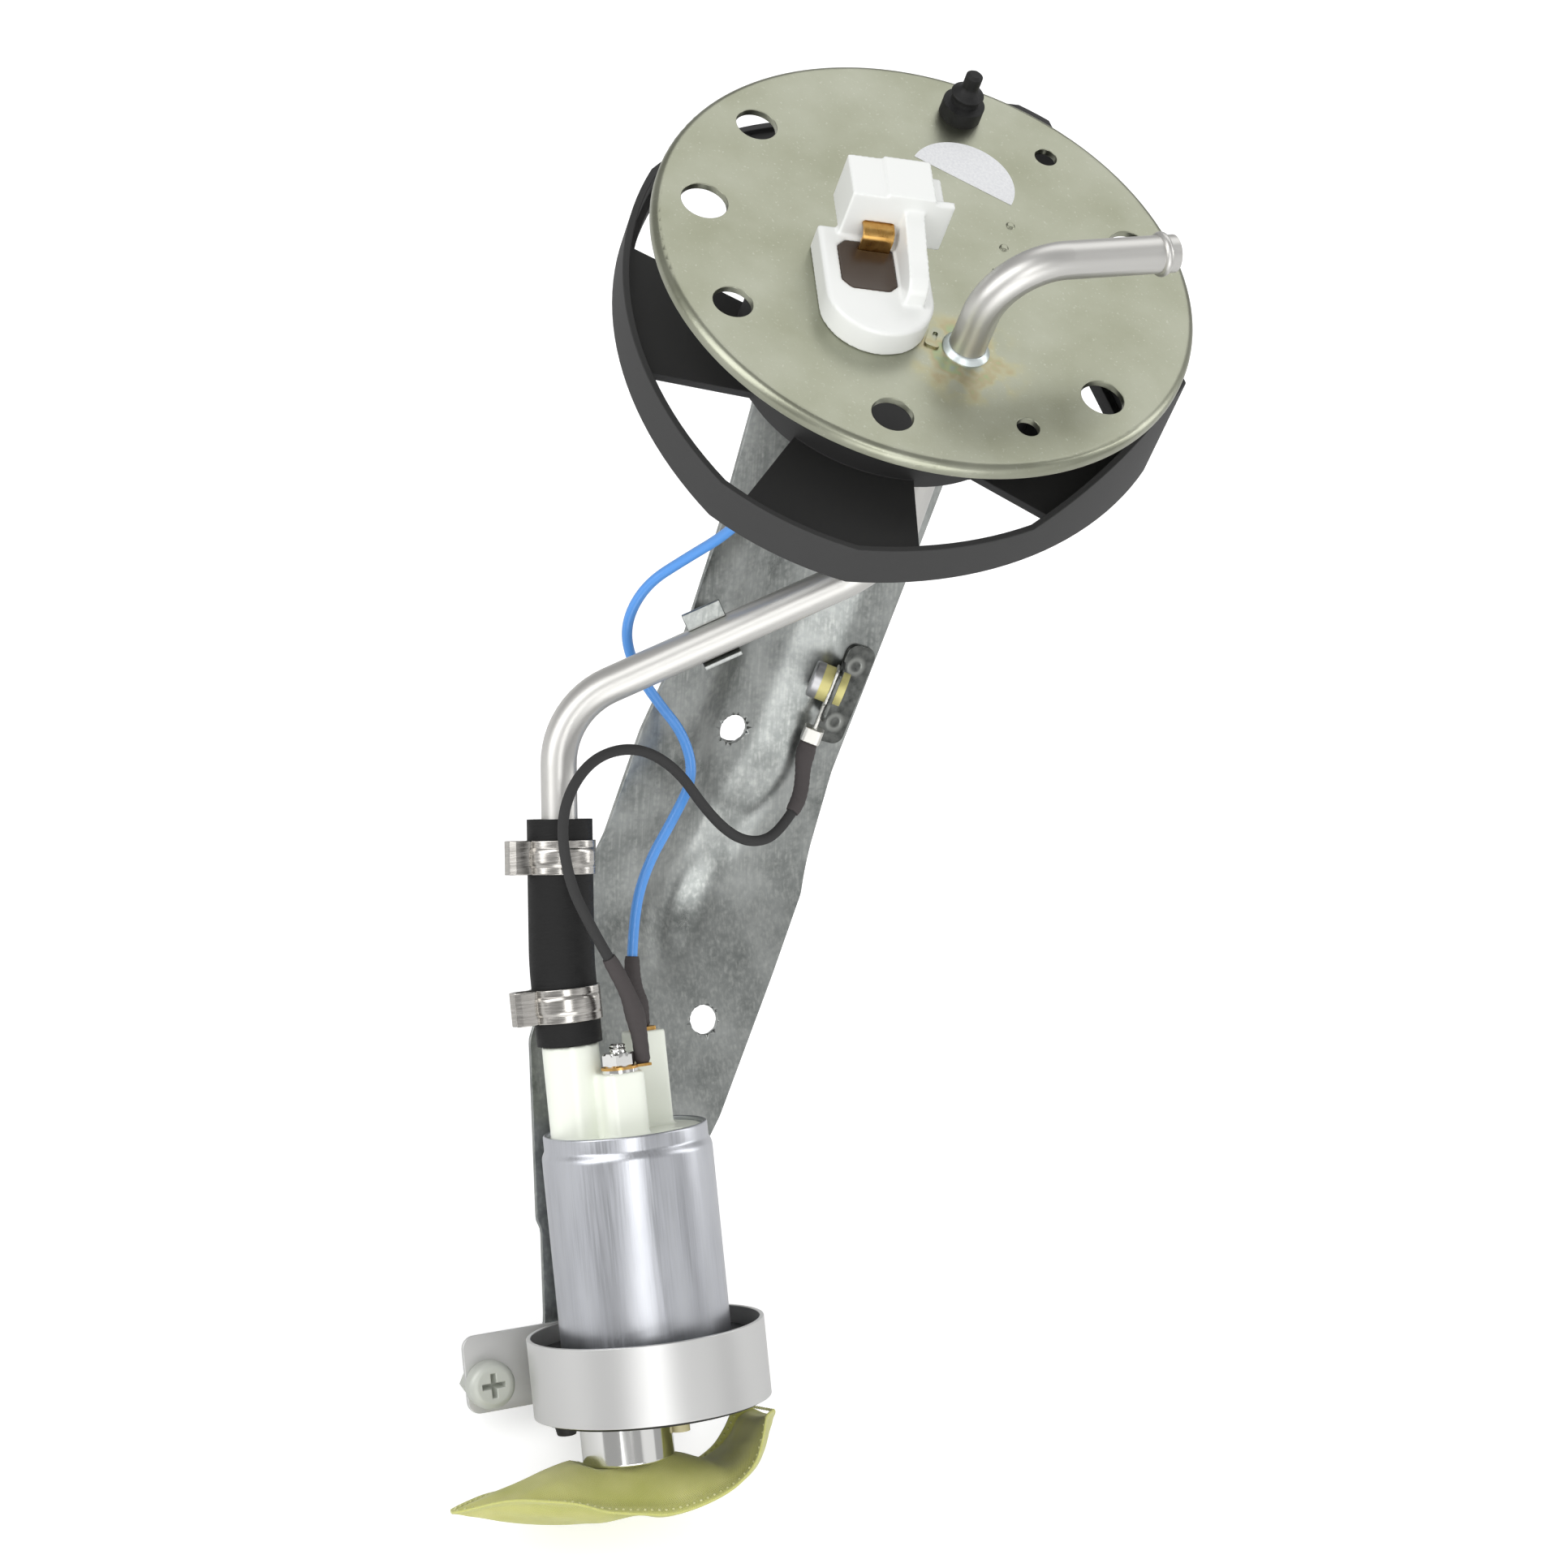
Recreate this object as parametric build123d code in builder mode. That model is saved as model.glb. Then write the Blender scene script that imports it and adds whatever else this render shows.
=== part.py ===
from build123d import *
import os
from math import cos, pi, radians, sin, tan

os.makedirs("parts", exist_ok=True)

# Tank flange plate
flange_r = 60.0
flange_t = 1.6
flange_rim_height = 3.0
flange_shoulder_r = 2.0
bolt_circle_r = 49.0
bolt_hole_r = 4.5
stud_hole_r = 4.7
stud_hole_azimuth = 30.0
side_hole_r = 4.3
side_hole_azimuth = 280.0
drain_hole_r = 5.1
drain_hole_azimuth = 245.0
small_hole_r = 2.5
small_hole_azimuths = (5.0, 125.0)
dimple_r = 0.95
dimple_height = 0.45
dimple_places = ((-1.8, 19.1), (5.1, 14.5), (-8.1, 23.2))

# Blank paper label, half a disc
label_r = 11.8
label_t = 0.12
label_centre = (-22.3, 17.3)
label_turn = 46.4

# Vent stub and its rubber cap
vent_azimuth = 150.0
vent_tube_r = 2.0
vent_bore_r = 1.2
vent_tube_top = 7.0
vent_tube_below = 2.0
cap_base_r = 4.7
cap_base_height = 3.6
cap_waist_r = 3.2
cap_dome_r = 3.7
cap_nipple_r = 1.9
cap_height = 12.0

# Running and fitting clearances
fit_gap = 0.1
seat_gap = 0.05
running_gap = 0.04
soft_gap = 0.3

# Electrical connector, in its own turned frame on the plate
connector_turn = -14.5
base_height = 6.5
base_half_width = 11.7
base_start = 0.5
base_round_at = 19.0
connector_b = -14.35
pocket_start = 4.0
pocket_end = 18.2
pocket_low = -22.4
pocket_high = -10.2
pocket_depth = 5.0
pocket_corner = 2.0
fin_low = -9.8
fin_high = -5.5
fin_end = 22.0
fin_height = 7.0
socket_start = -8.8
socket_end = 3.0
socket_low = -21.9
socket_high = -4.0
socket_top = 18.5
socket_wall = 1.6
socket_step = 0.8
wing_t = 1.8
wing_reach = 4.5
latch_t = 3.5
latch_top = 15.0
spigot_r = 8.0
spigot_below = 7.0
blade_half_width = 3.4
blade_t = 0.8
blade_z = 11.0

# Fuel pipe
pipe_r = 4.0
pipe_bore_r = 3.2
pipe_x = 26.25
pipe_y = -1.3
pipe_mouth_y = 39.0
pipe_top_z = 26.6
pipe_top_bend_r = 15.0
pipe_low_bend_r = 19.0
pipe_corner = (27.2, 1.4, -64.8)
bead_r = 4.75
bead_width = 1.8
bead_from_mouth = 3.0
collar_r = 5.2
collar_height = 1.4

# Earth tab lying on the plate beside the pipe
tab_centre = (22.5, -7.3)
tab_turn = 146.0
tab_length = 6.0
tab_width = 3.2
tab_t = 0.5

# Moulded baffle ring under the plate
hub_wall = 2.0
hub_gap = 1.35
hub_r = pipe_x + pipe_r + hub_gap + hub_wall
hub_bottom = -33.4
band_r = 66.5
band_wall = 3.0
band_bottom = -31.4
band_low_top = -21.4
band_high_top = -3.4
band_ledge_wall = 1.6
band_ledge_height = 4.0
band_flat_y = band_r - 17.0
band_rise_start = 10.0
band_rise_end = 44.0
trim_a_centre = (-31.0, -13.0)
trim_a_r = band_r + 25.0
trim_b_centre = (5.0, 29.0)
trim_b_r = band_r + 23.5
web_count = 5
web_first_azimuth = -33.5
web_half_inner = 13.5
web_half_outer = 17.0
web_t = 2.0
web_band_z = -24.6

# Pump axis: where the pump's top rim stands and how far it leans
pump_lean = 52.0
pump_top = (103.0, -63.0, -161.4)
up = Vector(-sin(radians(pump_lean)), 0, cos(radians(pump_lean)))
front = Vector(cos(radians(pump_lean)), 0, sin(radians(pump_lean)))
hang = Plane(origin=pump_top, x_dir=front, z_dir=up)

# Bracket, folded from one sheet
sheet_t = 1.2
bracket_wall_x = -11.6
bracket_foot = 9.5
bracket_bend_u = 50.0
panel_angle = 30.0
bracket_bend_r = 6.0
bracket_half_width = 22.0
channel_depth = 4.0
bracket_hole_r = 3.4
upper_hole = (-20.2, -120.1)
lower_hole = (-30.6, -170.4)

# Pump case
case_r = 19.0
case_wall = 1.0
neck_r = case_r - 0.7
neck_height = 3.6
case_length = 61.5
lip_t = 0.8
bottom_lip_r = case_r - 3.5
neck_slope = 1.2
case_corner = 1.4

# Pump end cap
cap_disc_bottom = -6.0
cap_skirt_t = 1.8
cap_flange_t = 0.9
cap_r = neck_r - case_wall - fit_gap
outlet_r = 6.3
outlet_w = outlet_r - cap_r
outlet_top = 20.0
nipple_r = 4.0
nipple_bore_r = 2.6
nipple_top = 33.0
front_post = (8.0, -3.0)
front_post_size = (8.4, 9.6)
front_post_top = 13.3
rear_post = (-5.0, cap_r - 8.6)
rear_post_size = (8.0, 8.0)
rear_post_top = 20.4

# Motor, from the case's bore inwards
flux_ring_r = case_r - case_wall - fit_gap
flux_ring_inner_r = flux_ring_r - 0.8
magnet_inner_r = flux_ring_inner_r - 3.9
core_r = magnet_inner_r - 0.6
winding_r = core_r - 1.0
commutator_r = core_r - 0.6
shaft_r = 2.0
shaft_top = -8.6
bush_r = 3.5
bush_length = 5.0
upper_bush_bottom = -14.0
commutator_top = -17.0
commutator_t = 3.0
core_top = -26.0
slot_count = 8
slot_inset = 3.2
slot_size = (4.4, 3.0)
slot_mouth = (3.0, 1.2)
press_gap = 0.01
winding_end = 4.7
magnet_overhang = 4.0
magnet_gap = 12.0
flux_ring_top = -19.0
brush_v = 8.0
brush_size = (4.0, 6.0)
brush_length = 7.0
brush_spring_length = 5.5
brush_travel = 1.5
brush_spring_r = 1.8
brush_spring_inner_r = 1.1

# Pumping section
housing_t = 5.7
impeller_t = 3.0
impeller_r = case_r - 4.0
impeller_gap = 0.15
impeller_vanes = 20
vane_slot = (3.2, 2.6)
channel_width = 2.8
channel_cut = 1.2
cover_t = 2.9
cover_bottom = lip_t - case_length
cover_top = cover_bottom + cover_t
housing_face = cover_top + impeller_t + 2 * impeller_gap
housing_top = housing_face + housing_t
flux_ring_bottom = housing_top + fit_gap
core_bottom = flux_ring_bottom + 7.2
shaft_bottom = cover_top - 1.1
spigot_outer_r = 6.0
spigot_inner_r = 4.0
inlet_w = -7.0
collar_outer_r = 10.25
collar_length = 11.6
collar_bottom = -case_length - collar_length
spigot_bottom = collar_bottom + 2.0

# Valves
valve_r = 3.2
valve_chamber_r = 4.2
valve_seat_r = 2.2
valve_travel = 2.0
valve_stem_r = 1.2
valve_spring_r = 2.5
valve_spring_inner_r = 1.7
valve_spring_bottom = 3.4
valve_chamber_top = 12.0
relief_place = (9.0, 8.5)
relief_r = 1.6
relief_t = 1.2
relief_chamber = 3.9
relief_travel = 0.8
spring_slack = 0.2

# Rubber cup, strap and strainer
cup_r = 25.5
cup_floor_t = 1.4
strap_t = 1.0
strap_height = 17.7
strap_bottom = -case_length - 0.7
strap_top = strap_bottom + strap_height
cup_top = strap_top - 4.0
ear_corner = 3.0
strap_ear_w = -34.5
bracket_front_v = -26.0
strap_edge_w = 13.0
strap_gap_left = 7.0
strap_gap_depth = 8.5
ear_start_w = -6.0
hook_start_v = -22.0
hook_lap = 4.0
screw_w = -29.3
screw_u = strap_top - 11.3
screw_r = 2.5
screw_head_r = 5.5
screw_head_height = 4.0
recess_width = 1.3
recess_length = 5.6
recess_depth = 2.4
screw_end = 3.0
nut_across_flats = 8.0
nut_t = 4.0
peg_place = (2.0, 5.2)
peg_r = 2.1
peg_length = 7.2
foot_r = 2.6
foot_w = -21.0
foot_height = 2.4
sock_half_depth = 15.0
sock_body = (-12.0, 38.5)
sock_right_end = (12.0, 30.0)
sock_left_tip = (-40.0, 20.0)
sock_corner = 4.0
sock_top_line = (
    (21.5, 4.6),
    (18.6, 0.4),
    (14.0, -2.4),
    (6.0, -1.2),
    (-7.0, -0.3),
    (-18.0, -0.3),
    (-27.0, -1.6),
    (-38.0, -3.6),
    (-49.5, -5.2),
)
sock_bottom_line = (
    (-49.5, -5.9),
    (-40.0, -8.6),
    (-28.0, -11.2),
    (-15.0, -12.4),
    (-2.0, -13.4),
    (8.0, -13.2),
    (16.0, -11.0),
    (22.0, -7.4),
    (25.2, -1.6),
    (26.3, 4.9),
)

# Rubber hose between pump and pipe
hose_r = 7.25
hose_bottom = 20.3
hose_top = 69.7
hose_bend_u = 38.0
hose_bend_r = 80.0
pipe_lean = 5.3
pipe_corner_u = 94.0
pipe_end_u = 46.0
clamp_t = 0.6
clamp_width = 7.5
clamp_low_u = 25.4
clamp_high_u = 57.6
clamp_ear_height = 4.2
clamp_ear_width = 4.6

# Pipe clip, part of the way along the pipe's sloping run
clip_share = 0.53
clip_length = 9.0
clip_t = 1.0
clip_lip = 3.2

# Earth point on the bracket
earth_sheet_t = 0.9
earth_at = (2.0, 44.6)
earth_turn = 20.0
earth_width = 7.4
earth_length = 24.0
lug_lean = 29.0
lug_height = 11.0
lug_length = 13.0
lug_down = -0.8
earth_screw_down = -2.3
earth_screw_off = 6.4
earth_screw_r = 2.0
earth_head_r = 4.3
earth_head_height = 2.2
earth_washer_r = 4.2
earth_washer_t = 2.4
terminal_width = 9.0
terminal_corner = 1.0
crimp_reach = 10.6
crimp_length = 3.4
terminal_t = 0.8
earth_nut_r = 3.9
earth_nut_t = 1.8

# Front terminal
stud_r = 1.9
stud_top = 19.6
washer_r = 4.0
washer_t = 0.7
eyelet_r = 4.1
eyelet_t = 0.6
eyelet_tail = (4.0, 5.0)
terminal_nut_t = 3.0
terminal_nut_flats = 6.6
barrel_offset = 5.6

# Wires
wire_r = 1.2
shrink_r = 2.0
sleeve_straight = 5.0
sleeve_bend_r = 6.0
black_wire_route = (
    (45.7, -10.2, -129.9),
    (49.5, -14.4, -132.5),
    (52.0, -21.2, -131.4),
    (52.3, -28.4, -127.0),
    (50.2, -36.2, -119.0),
    (44.9, -44.6, -108.4),
    (42.6, -55.6, -101.7),
    (45.8, -67.8, -100.8),
    (54.7, -75.9, -106.5),
    (65.9, -75.7, -115.3),
    (73.6, -71.9, -122.0),
    (79.9, -67.5, -127.9),
)
blue_wire_route = (
    (7.1, -16.6, -7.1),
    (8.3, -17.4, -21.4),
    (15.6, -22.5, -40.4),
    (19.2, -30.4, -49.0),
    (16.6, -34.3, -63.5),
    (12.7, -39.7, -75.6),
    (10.9, -46.2, -85.6),
    (14.2, -50.0, -94.6),
    (19.7, -48.7, -101.4),
    (26.9, -43.6, -107.0),
    (33.5, -37.6, -112.2),
    (41.2, -36.2, -118.2),
    (48.2, -42.4, -123.7),
    (55.1, -49.3, -129.7),
    (62.8, -53.6, -136.3),
    (70.7, -55.1, -142.5),
)


def in_hang(v, w, u):
    """A point given as front, side and height along the leaning pump."""
    return hang.from_local_coords((v, w, u))


def polar(radius, azimuth):
    """Plan position at a radius and an azimuth in degrees."""
    return (radius * cos(radians(azimuth)), radius * sin(radians(azimuth)))


def cord_radii(name, route):
    """Bend radius at each inner point of a cord's route, printed as it is made."""
    points = [Vector(*point) for point in route]
    runs = [b - a for a, b in zip(points, points[1:])]
    radii = []
    for before, after in zip(runs, runs[1:]):
        half_turn = radians(before.get_angle(after)) / 2
        radii.append(0.45 * min(before.length, after.length) / tan(half_turn))
    print(name, "length", round(sum(run.length for run in runs), 1))
    print(name, "radii", [round(radius, 1) for radius in radii])
    return radii


def finish(part, name):
    """Label a finished piece and write its file."""
    part.label = name
    export_step(part, f"parts/{name}.step")


# Flange plate: a pressed disc with a rolled rim, its bolt holes and its dimples
connector_frame = Plane(origin=(0, 0, flange_t), x_dir=(*polar(1, connector_turn), 0), z_dir=(0, 0, 1))
spigot_at = ((pocket_start + pocket_end) / 2, connector_b)

with BuildPart() as flange_plate:
    with BuildSketch(Plane.XZ) as flange_profile:
        with BuildLine():
            Polyline(
                (0, 0),
                (flange_r - flange_t, 0),
                (flange_r - flange_t, flange_t - flange_rim_height),
                (flange_r, flange_t - flange_rim_height),
                (flange_r, flange_t),
                (0, flange_t),
                close=True,
            )
        make_face()
        fillet(flange_profile.vertices().sort_by_distance((flange_r, flange_t))[0], flange_shoulder_r)
    revolve(axis=Axis.Z)
    with BuildSketch(Plane.XY.offset(flange_t)):
        with PolarLocations(bolt_circle_r, 3, start_angle=90):
            Circle(bolt_hole_r)
        with Locations(polar(bolt_circle_r, stud_hole_azimuth)):
            Circle(stud_hole_r)
        with Locations(polar(bolt_circle_r, side_hole_azimuth)):
            Circle(side_hole_r)
        with Locations(polar(bolt_circle_r, drain_hole_azimuth)):
            Circle(drain_hole_r)
        with Locations(*[polar(bolt_circle_r, azimuth) for azimuth in small_hole_azimuths]):
            Circle(small_hole_r)
        with Locations(polar(bolt_circle_r, vent_azimuth)):
            Circle(vent_tube_r + seat_gap)
        with Locations((pipe_x, pipe_y)):
            Circle(pipe_r + fit_gap)
    extrude(amount=-2 * flange_t, mode=Mode.SUBTRACT)
    with BuildSketch(connector_frame):
        with Locations(spigot_at):
            Circle(spigot_r + fit_gap)
    extrude(amount=-2 * flange_t, mode=Mode.SUBTRACT)
    with BuildSketch(Plane.XY.offset(flange_t)):
        with Locations(*dimple_places):
            Circle(dimple_r)
    extrude(amount=dimple_height, taper=25)
finish(flange_plate.part, "flange_plate")

# Blank half-round label stuck on the plate
with BuildPart() as blank_label:
    with BuildSketch(Plane((*label_centre, flange_t), x_dir=(*polar(1, label_turn), 0), z_dir=(0, 0, 1))):
        Circle(label_r)
        with Locations((0, -label_r)):
            Rectangle(2 * label_r, 2 * label_r, mode=Mode.SUBTRACT)
    extrude(amount=label_t)
finish(blank_label.part, "blank_label")

# Vent stub through the plate and the rubber cap pushed over it
vent_plane = Plane((*polar(bolt_circle_r, vent_azimuth), 0))

with BuildPart() as vent_stub:
    with BuildSketch(vent_plane.offset(-vent_tube_below)):
        Circle(vent_tube_r)
        Circle(vent_bore_r, mode=Mode.SUBTRACT)
    extrude(amount=vent_tube_below + flange_t + vent_tube_top)
finish(vent_stub.part, "vent_stub")

with BuildPart() as vent_cap:
    with BuildSketch(Plane(vent_plane.origin + (0, 0, flange_t), x_dir=(1, 0, 0), z_dir=(0, -1, 0))):
        with BuildLine():
            Polyline(
                (vent_tube_r + seat_gap, 0),
                (cap_base_r, 0),
                (cap_base_r, cap_base_height),
                (cap_waist_r, cap_base_height + 0.4),
                (cap_waist_r, cap_base_height + 1.2),
            )
            Spline(
                (cap_waist_r, cap_base_height + 1.2),
                (cap_dome_r, cap_base_height + 2.6),
                (cap_nipple_r, cap_height - 3.6),
                tangents=((0, 1), (-0.3, 1)),
            )
            Polyline((cap_nipple_r, cap_height - 3.6), (cap_nipple_r, cap_height - 0.6))
            Polyline(
                (cap_nipple_r, cap_height - 0.6),
                (cap_nipple_r - 0.7, cap_height),
                (0, cap_height),
                (0, vent_tube_top + seat_gap),
                (vent_tube_r + seat_gap, vent_tube_top + seat_gap),
                (vent_tube_r + seat_gap, 0),
            )
        make_face()
    revolve(axis=Axis(vent_plane.origin, (0, 0, 1)))
finish(vent_cap.part, "vent_cap")

# Connector body: a round-ended base with a potting pocket, a socket box, a fin and a latch
with BuildPart() as connector_body:
    with BuildSketch(connector_frame):
        with Locations(((base_start + base_round_at) / 2, connector_b)):
            Rectangle(base_round_at - base_start, 2 * base_half_width)
        with Locations((base_round_at, connector_b)):
            Circle(base_half_width)
    extrude(amount=base_height)
    chamfer(connector_body.faces().sort_by(Axis.Z)[-1].edges(), 0.5)
    with BuildSketch(connector_frame.offset(base_height)):
        with Locations(((pocket_start + pocket_end) / 2, (pocket_low + pocket_high) / 2)):
            pocket = Rectangle(pocket_end - pocket_start, pocket_high - pocket_low)
        chamfer(pocket.vertices(), pocket_corner)
    extrude(amount=-pocket_depth, mode=Mode.SUBTRACT)
    # Socket box, its right half a step higher, overhanging the plate
    with BuildSketch(connector_frame.offset(base_height)):
        with Locations(((socket_start + socket_end) / 2, (socket_low + socket_high) / 2)):
            Rectangle(socket_end - socket_start, socket_high - socket_low)
    extrude(amount=socket_top - base_height)
    with BuildSketch(connector_frame.offset(socket_top)):
        with Locations(((socket_start + socket_end) / 2, (connector_b + socket_high) / 2)):
            Rectangle(socket_end - socket_start, socket_high - connector_b)
    extrude(amount=socket_step)
    # Fin that stiffens the box from the front
    with BuildSketch(Plane(connector_frame.from_local_coords((socket_end, fin_low, base_height)),
                           x_dir=connector_frame.x_dir, z_dir=-connector_frame.y_dir)):
        with BuildLine():
            Polyline((-1, 0), (fin_end - socket_end, 0), (fin_end - socket_end, 2.0))
            Spline(
                (fin_end - socket_end, 2.0),
                (fin_end - socket_end - 4.5, fin_height - 0.6),
                (fin_end - socket_end - 9.0, fin_height),
                tangents=((0, 1), (-1, 0)),
            )
            Polyline((fin_end - socket_end - 9.0, fin_height), (-1, fin_height + 2.0), (-1, 0))
        make_face()
    extrude(amount=-(fin_high - fin_low))
    # Wing plate and latch block on the right side
    with BuildSketch(connector_frame.offset(base_height - 1.0)):
        with Locations((socket_end - wing_t / 2, socket_high + wing_reach / 2)):
            Rectangle(wing_t, wing_reach)
    extrude(amount=socket_top - base_height + 0.5)
    with BuildSketch(connector_frame.offset(base_height)):
        with Locations(((socket_start + socket_end - wing_t) / 2, socket_high + latch_t / 2)):
            Rectangle(socket_end - socket_start - wing_t, latch_t)
    extrude(amount=latch_top - base_height)
    # Socket cavity, open at the back
    with BuildSketch(Plane(connector_frame.from_local_coords((socket_start, 0, 0)),
                           x_dir=connector_frame.y_dir, z_dir=connector_frame.x_dir)):
        with Locations(((socket_low + socket_high) / 2, (base_height + socket_top) / 2)):
            Rectangle(socket_high - socket_low - 2 * socket_wall, socket_top - base_height - 2 * socket_wall)
    extrude(amount=socket_end - socket_start - socket_wall, mode=Mode.SUBTRACT)
    # Slot that the terminal blade passes through
    with BuildSketch(Plane(connector_frame.from_local_coords((socket_end, connector_b, blade_z - blade_t / 2)),
                           x_dir=connector_frame.y_dir, z_dir=connector_frame.x_dir)):
        Rectangle(2 * blade_half_width + fit_gap, blade_t + fit_gap)
    extrude(amount=-2 * socket_wall, mode=Mode.SUBTRACT)
    # Spigot through the plate
    with BuildSketch(connector_frame):
        with Locations(spigot_at):
            Circle(spigot_r)
    extrude(amount=-spigot_below)
finish(connector_body.part, "connector_body")

# Terminal blade: in the socket, out through its wall and down into the potting
blade_frame = Plane(connector_frame.from_local_coords((0, connector_b - blade_half_width, 0)),
                    x_dir=connector_frame.x_dir, z_dir=-connector_frame.y_dir)
blade_foot_a = socket_end + 3.4
with BuildPart() as terminal_blade:
    with BuildSketch(blade_frame):
        with BuildLine() as blade_line:
            FilletPolyline(
                (socket_start + 2.0, blade_z),
                (blade_foot_a, blade_z),
                (blade_foot_a, base_height - 2.0),
                radius=2.2,
            )
            offset(amount=blade_t, side=Side.RIGHT)
        make_face()
    extrude(amount=-2 * blade_half_width)
finish(terminal_blade.part, "terminal_blade")

# Resin that fills the pocket round the blade's foot
with BuildPart() as connector_potting:
    with BuildSketch(connector_frame.offset(base_height - pocket_depth)):
        with Locations(((pocket_start + pocket_end) / 2, (pocket_low + pocket_high) / 2)):
            resin = Rectangle(pocket_end - pocket_start, pocket_high - pocket_low)
        chamfer(resin.vertices(), pocket_corner)
    extrude(amount=pocket_depth - 0.3)
    with BuildSketch(connector_frame.offset(base_height - 2.0)):
        with Locations((blade_foot_a - blade_t / 2, connector_b)):
            Rectangle(blade_t + fit_gap, 2 * blade_half_width + fit_gap)
    extrude(amount=3.0, mode=Mode.SUBTRACT)
finish(connector_potting.part, "connector_potting")

# Earth tab brazed flat on the plate, with a slot
with BuildPart() as earth_tab:
    with BuildSketch(Plane((*tab_centre, flange_t), x_dir=(*polar(1, tab_turn), 0), z_dir=(0, 0, 1))):
        RectangleRounded(tab_length, tab_width, 0.8)
        SlotOverall(tab_length / 2, tab_width / 3, mode=Mode.SUBTRACT)
    extrude(amount=tab_t)
finish(earth_tab.part, "earth_tab")

# Fuel pipe: from the mouth over the plate, through it, across to the hose
pipe_corner_w = outlet_w + (pipe_corner_u - hose_bend_u) * tan(radians(pipe_lean))
pipe_end_w = outlet_w + (pipe_end_u - hose_bend_u) * tan(radians(pipe_lean))
pipe_low_corner = in_hang(0, pipe_corner_w, pipe_corner_u)
pipe_end = in_hang(0, pipe_end_w, pipe_end_u)
pipe_points = [
    Vector(pipe_x, pipe_mouth_y, pipe_top_z),
    Vector(pipe_x, pipe_y, pipe_top_z),
    Vector(pipe_x, pipe_y, -4.0),
    Vector(*pipe_corner),
    pipe_low_corner,
    pipe_end,
]
pipe_radii = [pipe_top_bend_r, 140.0, pipe_low_bend_r, pipe_low_bend_r]
with BuildPart() as fuel_pipe:
    with BuildLine() as pipe_line:
        FilletPolyline(*pipe_points, radius=pipe_radii)
    with BuildSketch(Plane(pipe_points[0], x_dir=(1, 0, 0), z_dir=(0, -1, 0))):
        Circle(pipe_r)
        Circle(pipe_bore_r, mode=Mode.SUBTRACT)
    sweep(path=pipe_line.line)
    with BuildSketch(Plane((pipe_x, pipe_mouth_y - bead_from_mouth, pipe_top_z), x_dir=(1, 0, 0), z_dir=(0, 0, 1))):
        with BuildLine():
            Polyline((pipe_r - 0.3, -bead_width / 2), (pipe_r, -bead_width / 2))
            ThreePointArc((pipe_r, -bead_width / 2), (bead_r, 0), (pipe_r, bead_width / 2))
            Polyline((pipe_r, bead_width / 2), (pipe_r - 0.3, bead_width / 2), (pipe_r - 0.3, -bead_width / 2))
        make_face()
    revolve(axis=Axis((pipe_x, 0, pipe_top_z), (0, 1, 0)))
finish(fuel_pipe.part, "fuel_pipe")

# Braze fillet round the pipe where it passes the plate
with BuildPart() as braze_collar:
    with BuildSketch(Plane((pipe_x, pipe_y, flange_t), x_dir=(1, 0, 0), z_dir=(0, -1, 0))):
        with BuildLine():
            Polyline((collar_r - 0.6, 0), (pipe_r + seat_gap, 0), (pipe_r + seat_gap, collar_height))
            Spline(
                (pipe_r + seat_gap, collar_height),
                (collar_r - 0.3, 0.6),
                (collar_r, 0.2),
                tangents=((0.9, -0.4), (0.5, -1)),
            )
            Polyline((collar_r, 0.2), (collar_r, 0), (collar_r - 0.6, 0))
        make_face()
    revolve(axis=Axis((pipe_x, pipe_y, 0), (0, 0, 1)))
finish(braze_collar.part, "braze_collar")


def band_outline(inset):
    """Plan outline of the band: a disc trimmed by two larger discs and a flat."""
    with BuildSketch(Plane.XY.offset(band_bottom)) as outline:
        Circle(band_r)
        with Locations(trim_a_centre):
            Circle(trim_a_r, mode=Mode.INTERSECT)
        with Locations(trim_b_centre):
            Circle(trim_b_r, mode=Mode.INTERSECT)
        with Locations((0, band_flat_y - band_r)):
            Rectangle(4 * band_r, 2 * band_r, mode=Mode.INTERSECT)
        if inset:
            offset(amount=-inset)
    return outline.sketch


# Webs of the baffle ring: a sloping dish cut down to five wedges
with BuildPart() as web_dish:
    with BuildSketch(Plane.XZ):
        with BuildLine():
            Polyline(
                (hub_r - hub_wall / 2, hub_bottom),
                (band_r, web_band_z),
                (band_r, web_band_z + web_t),
                (hub_r - hub_wall / 2, hub_bottom + web_t),
                close=True,
            )
        make_face()
    revolve(axis=Axis.Z)
    with BuildSketch(Plane.XY.offset(hub_bottom)):
        with PolarLocations(0, web_count, start_angle=web_first_azimuth):
            Polygon(
                (0, -hub_r * sin(radians(web_half_inner))),
                (band_r, -band_r * tan(radians(web_half_outer))),
                (band_r, band_r * tan(radians(web_half_outer))),
                (0, hub_r * sin(radians(web_half_inner))),
                align=None,
            )
        Circle(hub_r - hub_wall / 2, mode=Mode.SUBTRACT)
    extrude(amount=web_band_z + web_t - hub_bottom, mode=Mode.INTERSECT)

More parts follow.
